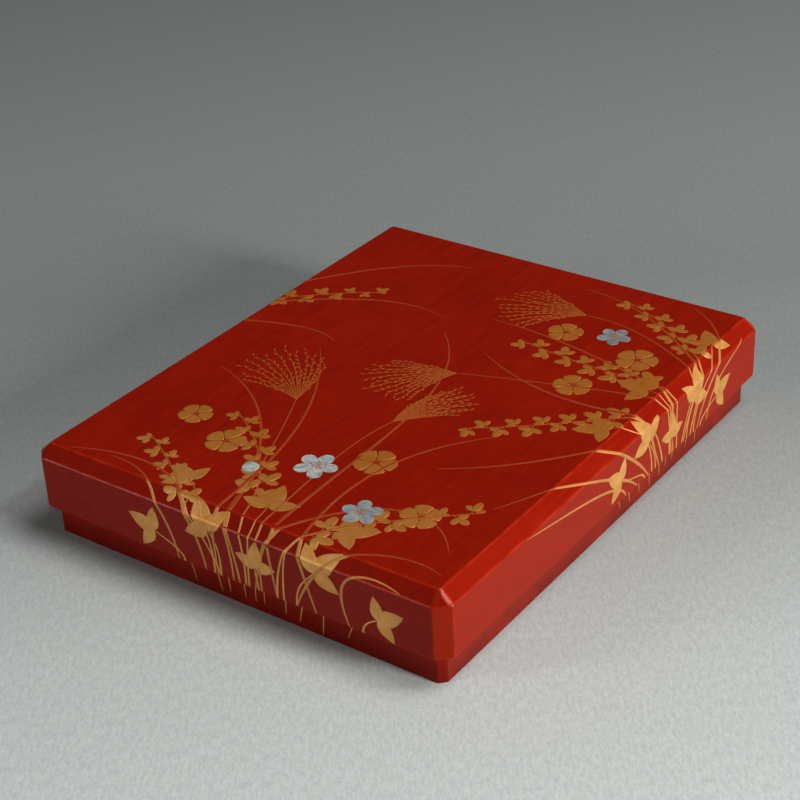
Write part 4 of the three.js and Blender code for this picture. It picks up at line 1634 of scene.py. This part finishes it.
@dataclass
class Tray:
    """A long lacquered tray with rounded corners inside and a finger notch in each end."""

    side: str
    finish: bpy.types.Material
    corner: float = 1.4  # the outer corners' radius
    fillet: float = 2.4  # the radius of the inner corners and of the cove round the floor
    lip: float = 0.7  # the radius of the walls' top edges
    foot: float = 0.35  # the underside's eased edge
    edge_ring: float = 0.8  # how far from an edge the ring lies that keeps a wall's shading flat
    notch_radius: float = 10.0
    notch_depth: float = 8.0
    end_room: float = 6.0  # how far from an end's outside a point still lies on that end

    def build(self) -> bpy.types.Object:
        """Carries the wall's profile round the tray, and dips its top into the notches.

        Returns:
            The dressed piece.
        """
        part = f"{self.side}_tray"
        nodes = [f"{part}_{name}"
                 for name in ("floor", "outer_side", "inner_side", "back_end", "front_end")]
        middle, half, bottom, floor = footprint(nodes[0])
        low, high = span(nodes[1], 0)
        top = span(nodes[1], 2)[1]
        rings = []
        for inset, rise, on_lip in self.profile(high - low, floor - bottom):
            outline = self.outline(half - inset, inset)
            z = top + rise - self.notch(outline, half[1]) if on_lip else bottom + rise
            rings.append(level_ring(outline + middle, z))
        return dress(tube(part, np.stack(rings)), self.finish, Ware.BLACK, part, nodes)

    def profile(self, wall: float, floor: float) -> list[tuple[float, float, bool]]:
        """The wall's section: up the outside, over a rounded lip, down the inside to the floor.

        Args:
            wall: the wall's thickness.
            floor: the floor's.

        Returns:
            For each ring, how far it lies in from the outside, its height, and whether that is
            measured from the top, as next to the lip, or from the underside.
        """
        keep = -self.lip - self.edge_ring
        section = [(self.foot, 0.0, False), (0.0, self.foot, False),
                   (0.0, self.foot + self.edge_ring, False), (0.0, keep, True)]
        for a in np.linspace(0, np.pi, 9):
            centre = self.lip if a < np.pi / 2 else wall - self.lip
            section.append((centre - self.lip * math.cos(a), self.lip * (math.sin(a) - 1), True))
        section.append((wall, keep, True))
        for a in np.linspace(0, np.pi / 2, 7):
            section.append((wall + self.fillet * (1 - math.cos(a)),
                            floor + self.fillet * (1 - math.sin(a)), False))
        return section

    def outline(self, half: np.ndarray, inset: float) -> np.ndarray:
        """Points round the tray, closer together across the ends, where the notches are.

        Args:
            half: half the ring's width and length.
            inset: how far it lies inside the tray's outline.

        Returns:
            The points, with the outer corners' radius on the outside and the cove's inside.
        """
        outside = max(self.corner - inset * 0.2, 0.5)
        return stations(half, outside if inset < 2 else self.fillet, 6, 12, 46)

    def notch(self, outline: np.ndarray, half_length: float) -> np.ndarray:
        """How far the lip dips: a circle's arc about the middle of each end, and 0 elsewhere.

        Args:
            outline: a ring's points.
            half_length: half the tray's length.

        Returns:
            The dip at each point.
        """
        drop = self.notch_radius - self.notch_depth
        reach = math.sqrt(self.notch_radius ** 2 - drop ** 2)
        x, y = np.abs(outline).T
        arc = np.sqrt(np.clip(self.notch_radius ** 2 - x ** 2, 0, None)) - drop
        return np.where((x < reach) & (y > half_length - self.end_room), arc, 0)


@dataclass
class Inkstone:
    """A carved stone: a rounded rim round a grinding land that slopes down into a deep well."""

    finish: bpy.types.Material
    corner: float = 4.0  # the outer corners' radius
    edge: float = 1.3  # the radius of the outer edges
    rim: float = 5.0
    lip_in: float = 1.0  # how far the rim's inner edge is rounded, across
    lip_down: float = 0.8  # and down
    land: float = 1.6  # how deep the grinding land lies
    well: float = 8.5  # how deep the well is
    well_length: float = 26.0
    slope_length: float = 20.0
    cove: float = 2.2  # the radius round the carving's floor
    foot: float = 1.2  # how deep the underside is hollowed
    foot_inset: float = 9.0
    turns: int = 8  # steps round a corner
    side_points: int = 70
    end_points: int = 16

    def depth(self, outline: np.ndarray, half_length: float) -> np.ndarray:
        """How deep the carving is at each point, seen along the stone.

        It is the land's depth, plus a smooth step of the slope's length down to the well's depth.

        Args:
            outline: the points.
            half_length: half the stone's length.

        Returns:
            The depths.
        """
        start = half_length - self.rim - self.well_length - self.slope_length
        share = np.clip((outline[:, 1] - start) / self.slope_length, 0, 1)
        return self.land + (self.well - self.land) * share * share * (3 - 2 * share)

    def build(self) -> bpy.types.Object:
        """Rings from the hollow underside, up the outside, over the rim and down into the carving.

        Returns:
            The dressed piece.
        """
        middle, half, bottom, top = footprint("inkstone")
        mouth = top - self.lip_down
        rings = []

        def ring(inset: float, z: float, radius: float) -> np.ndarray:
            """Adds a level ring.

            Args:
                inset: how far it lies inside the stone's outline.
                z: its height.
                radius: its corners' radius.

            Returns:
                Its outline, seen from above.
            """
            outline = self.outline(half - inset, radius)
            rings.append(level_ring(outline + middle, z))
            return outline

        for inset, z in ((0.8, self.foot), (0, self.foot - 0.3), (-0.6, 0)):
            ring(self.foot_inset + inset, bottom + z, self.corner)
        for start, way, angles in ((bottom, 1, np.linspace(0, np.pi / 2, 5)),
                                   (top, -1, np.linspace(np.pi / 2, 0, 6))):
            for a in angles:
                inset = self.edge * (1 - math.sin(a))
                ring(inset, start + way * self.edge * (1 - math.cos(a)), self.corner - inset * 0.5)
        for a in np.linspace(0, np.pi / 2, 5):
            inner = ring(self.rim - self.lip_in * (1 - math.sin(a)),
                         top - self.lip_down * (1 - math.cos(a)), self.corner + 1.5)
        wall = np.maximum(self.depth(inner, half[1]) - self.lip_down - self.cove, 0)
        for share in (0.35, 0.7):
            rings.append(level_ring(inner + middle, mouth - wall * share))
        for a in np.linspace(0.1, np.pi / 2, 6):
            inset = self.rim + self.cove * (1 - math.cos(a))
            outline = self.outline(half - inset, self.corner + 1.2)
            floor = self.depth(outline, half[1])
            lift = np.minimum(self.cove, floor - self.lip_down) * (1 - math.sin(a))
            rings.append(level_ring(outline + middle, top - floor + lift))
        for share in np.linspace(1, 0, 26)[1:-1]:
            narrow = outline * np.array([share, 1])
            rings.append(level_ring(narrow + middle, top - self.depth(narrow, half[1])))
        made = self.skin("inkstone_carved", np.stack(rings))
        return dress(made, self.finish, Ware.SLATE, "inkstone", ["inkstone"])

    def outline(self, half: np.ndarray, radius: float) -> np.ndarray:
        """Points round the stone, at half its width and length, with corners of a radius."""
        return stations(half, radius, self.turns, self.side_points, self.end_points)

    def skin(self, name: str, rings: np.ndarray) -> bpy.types.Object:
        """Closes the rings with a flat underside, and with quads across the narrow last ring.

        Args:
            name: the piece's name.
            rings: the points, as rows by columns by 3.

        Returns:
            The new object.
        """
        rows, columns = rings.shape[:2]
        faces = wrapped_faces(rows, columns).tolist()
        faces.append(list(range(columns))[::-1])
        mirror = columns - 1 - self.end_points
        chain = (np.arange(columns // 2) - self.end_points // 2) % columns
        other = (mirror - chain) % columns
        floor = np.stack([chain[:-1], chain[1:], other[1:], other[:-1]], -1)
        return cast(name, rings, faces + (floor + (rows - 1) * columns).tolist())


def upright_rings(middle: np.ndarray, reach: np.ndarray, z: np.ndarray,
                  turn: np.ndarray) -> np.ndarray:
    """Rings round an upright axis: the middle plus the reach times (cos, sin) of the turn.

    Args:
        middle: the axis, seen from above.
        reach: how far out each point lies, as rings by turns, or by 1 where a ring is round.
        z: each ring's height.
        turn: the angles.

    Returns:
        The points, as rings by turns by 3.
    """
    return np.stack([middle[0] + reach * np.cos(turn), middle[1] + reach * np.sin(turn),
                     np.broadcast_to(z[:, None], (len(z), len(turn)))], -1)


@dataclass
class Dropper:
    """A cast bronze water dropper: a low petalled body, and a button and a spout on its crown."""

    finish: bpy.types.Material
    petals: int = 16
    groove: float = 0.07  # how deep it is between two petals, as a share of the radius
    across: int = 12  # points across a petal
    foot_share: float = 0.78  # the foot's radius, as a share of the belly's
    foot_z: float = 0.9  # where the foot ends and the belly starts
    belly_z: float = 8.0
    crown_z: float = 16.5
    button: float = 3.5  # the button's radius
    button_rise: float = 2.4  # how far its tip is above the crown
    spout: float = 2.3  # the spout's outer radius
    spout_bore: float = 1.1
    spout_offset: float = 12.5  # from the axis, to the right
    spout_rise: float = 1.7  # how far its mouth is above the crown
    spout_root: float = 4.5  # how far below the crown it starts

    def profile(self, radius: float, height: float) -> np.ndarray:
        """The body's section from the underside to the button's tip.

        Above the belly the radius is the belly's times an angle's cosine to the power of 0.8, and
        the height goes with the sine.

        Args:
            radius: the belly's radius.
            height: what the CAD gives the body in all.

        Returns:
            Rows of radius and height.
        """
        foot = radius * self.foot_share
        section = [(foot - 2.6, self.foot_z), (foot - 1.8, 0.0), (foot - 0.3, 0.0), (foot, 0.35)]
        section += [(foot + (radius - foot) * math.sin(a),
                     self.foot_z + (self.belly_z - self.foot_z) * (1 - math.cos(a)))
                    for a in np.linspace(0, np.pi / 2, 12)]
        rise = self.crown_z - self.belly_z
        section += [(radius * math.cos(a) ** 0.8, self.belly_z + rise * math.sin(a))
                    for a in np.linspace(0.08, 1.32, 18)]
        neck = self.crown_z + 0.1
        button = neck + 1.1
        tip = min(height, self.crown_z + self.button_rise)
        section += [(self.button * 0.75, neck), (self.button * 0.8, neck + 0.3)]
        section += [(self.button * math.cos(a), button + (tip - button) * math.sin(a))
                    for a in np.linspace(-0.3, 1.45, 8)]
        return np.array(section)

    def build(self) -> None:
        """Carries the profile round the axis, with a groove between each two petals, and the spout.

        A groove takes a share of the radius that grows with the dip of a cosine. The lane's first
        number says how deep in a groove a point lies.
        """
        middle, half, bottom, top = footprint("water_dropper")
        radius, z = self.profile(half[0], top - bottom).T
        turn = np.linspace(0, 2 * np.pi, self.petals * self.across, endpoint=False)
        dip = (1 - np.abs(np.cos(turn * self.petals / 2))) ** 1.6
        body = np.clip((radius - self.button * 1.6) / 6, 0, 1) * np.clip(z / 3, 0, 1)
        depth = body[:, None] * dip
        rings = upright_rings(middle, radius[:, None] * (1 - self.groove * depth), bottom + z, turn)
        lanes = (depth, np.broadcast_to(z[:, None] / self.crown_z, depth.shape))
        made = tube("dropper_body", rings, lanes)
        dress(made, self.finish, Ware.BRONZE, "water_dropper", ["water_dropper"])
        self.add_spout(middle + np.array([self.spout_offset, 0]), bottom + self.crown_z, top)

    def add_spout(self, middle: np.ndarray, crown: float, top: float) -> None:
        """A short tube whose outside flares into the body and whose mouth goes in 2 mm.

        Args:
            middle: its axis, seen from above.
            crown: how high the body's crown is.
            top: how high the CAD's dropper is.
        """
        mouth, root = min(top, crown + self.spout_rise), crown - self.spout_root
        wide, bore = self.spout, self.spout_bore
        radius, z = np.array([
            (wide + 0.9, root), (wide + 0.5, root + 1.2), (wide, root + 2.6), (wide, mouth - 0.4),
            (wide - 0.3, mouth), (bore + 0.2, mouth), (bore, mouth - 0.3), (bore, mouth - 2.2)]).T
        turn = np.linspace(0, 2 * np.pi, 28, endpoint=False)
        rings = upright_rings(middle, radius[:, None], z, turn)
        flat = np.zeros(rings.shape[:2])
        made = tube("dropper_spout", rings, (flat, flat))
        dress(made, self.finish, Ware.BRONZE, "water_dropper")


@dataclass
class Brush:
    """A writing brush: horn finial, bamboo shaft, horn collar and a pointed head of hair."""

    name: str
    bamboo: bpy.types.Material
    horn: bpy.types.Material
    hair: bpy.types.Material
    columns: int = 40
    locks: int = 11  # gathers between locks of hair, round the head
    gather: float = 0.07  # how deep they are, as a share of the radius
    knots: tuple = (0.2, 0.55, 0.86)  # shares of the shaft's length
    collar_grooves: tuple = (0.16, 0.84)
    # Places along the head and the finial, and the radius there, as shares of the whole
    belly: tuple = ((0, 0.83), (0.1, 0.93), (0.2, 0.985), (0.32, 1.0), (0.42, 0.965), (0.55, 0.86),
                    (0.66, 0.72), (0.78, 0.5), (0.86, 0.34), (0.94, 0.15), (1, 0.01))
    knob: tuple = ((0, 0.3), (0.03, 0.52), (0.1, 0.72), (0.3, 0.96), (0.5, 1.0), (0.62, 0.94),
                   (0.72, 0.8), (0.78, 0.72), (0.84, 0.74), (0.92, 0.82), (1, 0.84))

    def lathe(self, piece: str, share: np.ndarray, swell: np.ndarray,
              finish: bpy.types.Material, ware: Ware, gather: float = 0.0) -> None:
        """Turns a profile about the brush's axis, in the size of a CAD piece.

        Args:
            piece: the CAD piece that it stands for.
            share: places along the piece, as shares of its length.
            swell: the radius there, as a share of its own.
            finish: the material.
            ware: the slot.
            gather: how deep the gathers between locks of hair are, as a share of the radius.
        """
        node = f"{self.name}_brush_{piece}"
        start, end = span(node, 1)
        low, high = (np.array(corner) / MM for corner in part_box(f"{self.name}_brush_shaft"))
        axis = (low + high) / 2
        turn = np.linspace(0, 2 * np.pi, self.columns, endpoint=False)
        waves = 0.5 + 0.5 * np.cos(self.locks * turn + 2 * np.sin(3 * turn))
        whole = share / share[-1]
        reach = (footprint(node)[1][0] * swell)[:, None] * (
            1 - gather * waves * np.sin(np.pi * whole)[:, None])
        y = np.broadcast_to((start + (end - start) * share)[:, None], reach.shape)
        rings = np.stack([axis[0] + reach * np.cos(turn), y, axis[2] - reach * np.sin(turn)], -1)
        lanes = (np.broadcast_to(turn / (2 * np.pi), reach.shape),
                 np.broadcast_to(whole[:, None], reach.shape))
        made = tube(f"{self.name}_{piece}_turned", rings, lanes)
        dress(made, finish, ware, f"{self.name}_brush", [node])

    def build(self) -> None:
        """Makes the four pieces from the frame's sizes.

        The shaft tapers a little, and at each knot it swells and dips by a bell curve.
        """
        start, end = span(f"{self.name}_brush_shaft", 1)
        share = np.linspace(0, 1, 160)
        past = (share[:, None] - self.knots) * (end - start)
        bumps, dips = (np.exp(-((past - shift) / width) ** 2).sum(1)
                       for shift, width in ((0, 0.9), (1.6, 0.5)))
        shaft = 0.955 * (1 - 0.03 * share) + 0.045 * bumps - 0.03 * dips
        self.lathe("shaft", share, shaft, self.bamboo, Ware.BAMBOO)
        share = np.linspace(0, 1, 34)
        grooves = sum(np.exp(-((share - place) / 0.02) ** 2) for place in self.collar_grooves)
        swell = 0.84 + 0.16 * np.sin(np.pi * share) ** 0.45
        self.lathe("collar", share, swell * (1 - 0.05 * grooves), self.horn, Ware.HORN)
        share = np.linspace(0, 0.995, 46)
        self.lathe("hair", share, np.interp(share, *zip(*self.belly)), self.hair, Ware.HAIR,
                   self.gather)
        share = np.linspace(0, 1, 30)
        self.lathe("finial", share, np.interp(share, *zip(*self.knob)), self.horn, Ware.HORN)


@dataclass
class InkStick:
    """A pressed ink stick with eased edges, and a gilded frame and three flowers on its panel."""

    finish: bpy.types.Material
    gilt: bpy.types.Material
    ease: float = 0.35
    border: float = 3.0
    margin: float = 1.4  # from the border to the frame
    corner: float = 1.6
    panel: float = 0.6  # how deep the panel is sunk
    line: float = 0.5  # how wide a gilded line is
    rise: float = 0.35  # how high it stands
    flower: float = 4.2  # a flower's radius
    places: tuple = (-0.56, 0.0, 0.56)  # the flowers, as shares of the frame's half length

    def build(self) -> None:
        """Rounds the CAD stick's edges and lays the gilded lines on its panel."""
        eased_copy("ink_stick", "ink_stick_pressed", self.ease, self.finish, Ware.INK, "ink_stick")
        middle, half, _, top = footprint("ink_stick")
        half = half - self.border - self.margin
        floor = top - self.panel
        outline = round_rectangle(half, self.corner, 8).reshape(-1, 2)
        self.add_line("ink_stick_gilt_frame", outline + middle, floor)
        turn = np.linspace(0, 2 * np.pi, 120, endpoint=False)
        wave = self.flower * (1 + 0.13 * np.cos(5 * turn))
        outline = np.column_stack([wave * np.cos(turn), wave * np.sin(turn)])
        for number, share in enumerate(self.places, 1):
            place = middle + np.array([0, share * half[1]])
            self.add_line(f"ink_stick_gilt_flower_{number}", outline + place, floor)

    def add_line(self, name: str, outline: np.ndarray, floor: float) -> None:
        """A closed raised line of rounded section that follows an outline.

        Args:
            name: its name.
            outline: its middle.
            floor: how high the panel lies.
        """
        ahead = np.roll(outline, -1, 0) - np.roll(outline, 1, 0)
        ahead /= np.linalg.norm(ahead, axis=1, keepdims=True)
        beside = np.stack([ahead[:, 1], -ahead[:, 0]], -1)
        section = np.array([(1, -0.1), (1, 0.4), (0.6, 0.9), (0, 1), (-0.6, 0.9), (-1, 0.4),
                            (-1, -0.1)])  # across and up
        points = np.zeros((len(outline), len(section), 3))
        points[..., :2] = outline[:, None] + beside[:, None] * (section[:, :1] * self.line / 2)
        points[..., 2] = floor + section[:, 1] * self.rise
        faces = wrapped_faces(len(outline), len(section), closed=True)
        dress(cast(name, points, faces), self.gilt, Ware.INK, "ink_stick")


# The studio, whose sizes are in metres

@dataclass(frozen=True)
class Lamp:
    """A soft rectangular light that faces the box."""

    name: str
    place: tuple
    width: float
    height: float
    watts: float

    def hang(self) -> None:
        """Puts the light in the scene."""
        light = bpy.data.lights.new(self.name, "AREA")
        light.shape = "RECTANGLE"
        light.size, light.size_y = self.width, self.height
        light.energy = self.watts
        made = linked(self.name, light)
        made.location = self.place
        made.rotation_euler = (-Vector(self.place)).to_track_quat("-Z", "Y").to_euler()


@dataclass
class Studio:
    """Floor, lights, world and camera, as in the photograph."""

    azimuth: float = 36.599
    elevation: float = 30.075
    roll: float = -2.732
    place: tuple = (0.39321, -0.53890, 0.41669)
    lens: float = 83.18  # in millimetres, as is the sensor
    sensor: float = 36
    floor_half: float = 4.0
    world_grey: float = 0.036
    lamps: tuple = (
        Lamp("key_light", (2.25, 0.05, 0.75), 0.55, 0.6, 63),
        Lamp("overhead_light", (0.62, 0.3, 1.9), 0.7, 0.8, 15.0),
        Lamp("low_fill_light", (-1.15, -1.6, 0.3), 0.6, 0.6, 8.8),
        Lamp("front_glint_light", (-1.08, -1.49, 1.0), 0.32, 0.32, 5.0),
        Lamp("side_glint_light", (1.15, 0.25, 1.58), 0.7, 0.22, 8.5),
    )

    def floor(self) -> None:
        """Lays the paper that the box stands on."""
        corners = [[-1, -1, 0], [1, -1, 0], [1, 1, 0], [-1, 1, 0]]
        made = cast("floor_paper", self.floor_half / MM * np.array(corners), [[0, 1, 2, 3]], False)
        turn = math.radians(self.azimuth)
        made.data.materials.append(PaperFloor().make((-math.sin(turn), math.cos(turn))))

    def camera(self) -> None:
        """Sets the camera at the photograph's place, with its slight roll."""
        turn, rise, roll = map(math.radians, (self.azimuth, self.elevation, self.roll))
        back = Vector((math.sin(turn) * math.cos(rise), -math.cos(turn) * math.cos(rise),
                       math.sin(rise)))
        right = (-back).cross(Vector((0, 0, 1))).normalized()
        up = right.cross(-back)
        across = right * math.cos(roll) + up * math.sin(roll)
        upward = up * math.cos(roll) - right * math.sin(roll)
        lens = bpy.data.cameras.new("camera")
        lens.lens, lens.sensor_width = self.lens, self.sensor
        made = linked("camera", lens)
        rotation = Matrix((across, upward, back)).transposed()
        made.matrix_world = Matrix.Translation(self.place) @ rotation.to_4x4()
        bpy.context.scene.camera = made

    def world(self) -> None:
        """An even dim grey all round."""
        world = bpy.data.worlds.new("studio")
        world.use_nodes = True
        background, grey = world.node_tree.nodes["Background"], self.world_grey
        background.inputs["Color"].default_value = (grey, grey, grey, 1)
        bpy.context.scene.world = world

    def build(self) -> None:
        """Sets up the whole studio."""
        self.floor()
        self.camera()
        self.world()
        for lamp in self.lamps:
            lamp.hang()
        bpy.context.scene.view_settings.view_transform = "Standard"


def main() -> None:
    """Builds every piece."""
    logging.basicConfig(level=logging.INFO, format="%(message)s")
    red = RedLacquer().make()
    black = BlackLacquer().make()
    horn = Horn().make()
    bamboo = Bamboo().make()
    hair = BrushHair().make()
    Lid(red, black, MotherOfPearl().make()).build()
    Base(red, black).build()
    AutumnMeadow(SprinkledGold().make()).build()
    for side in ("left", "right"):
        Tray(side, black).build()
    eased_copy("inkstone_board", "inkstone_board_eased", 0.5, black, Ware.BLACK, "inkstone_board")
    Inkstone(Slate().make()).build()
    Dropper(Bronze().make()).build()
    for name in ("large", "small"):
        Brush(name, bamboo, horn, hair).build()
    InkStick(PressedInk().make(), PressedInk(gilded=True).make()).build()
    Studio().build()


if __name__ == "__main__":
    main()
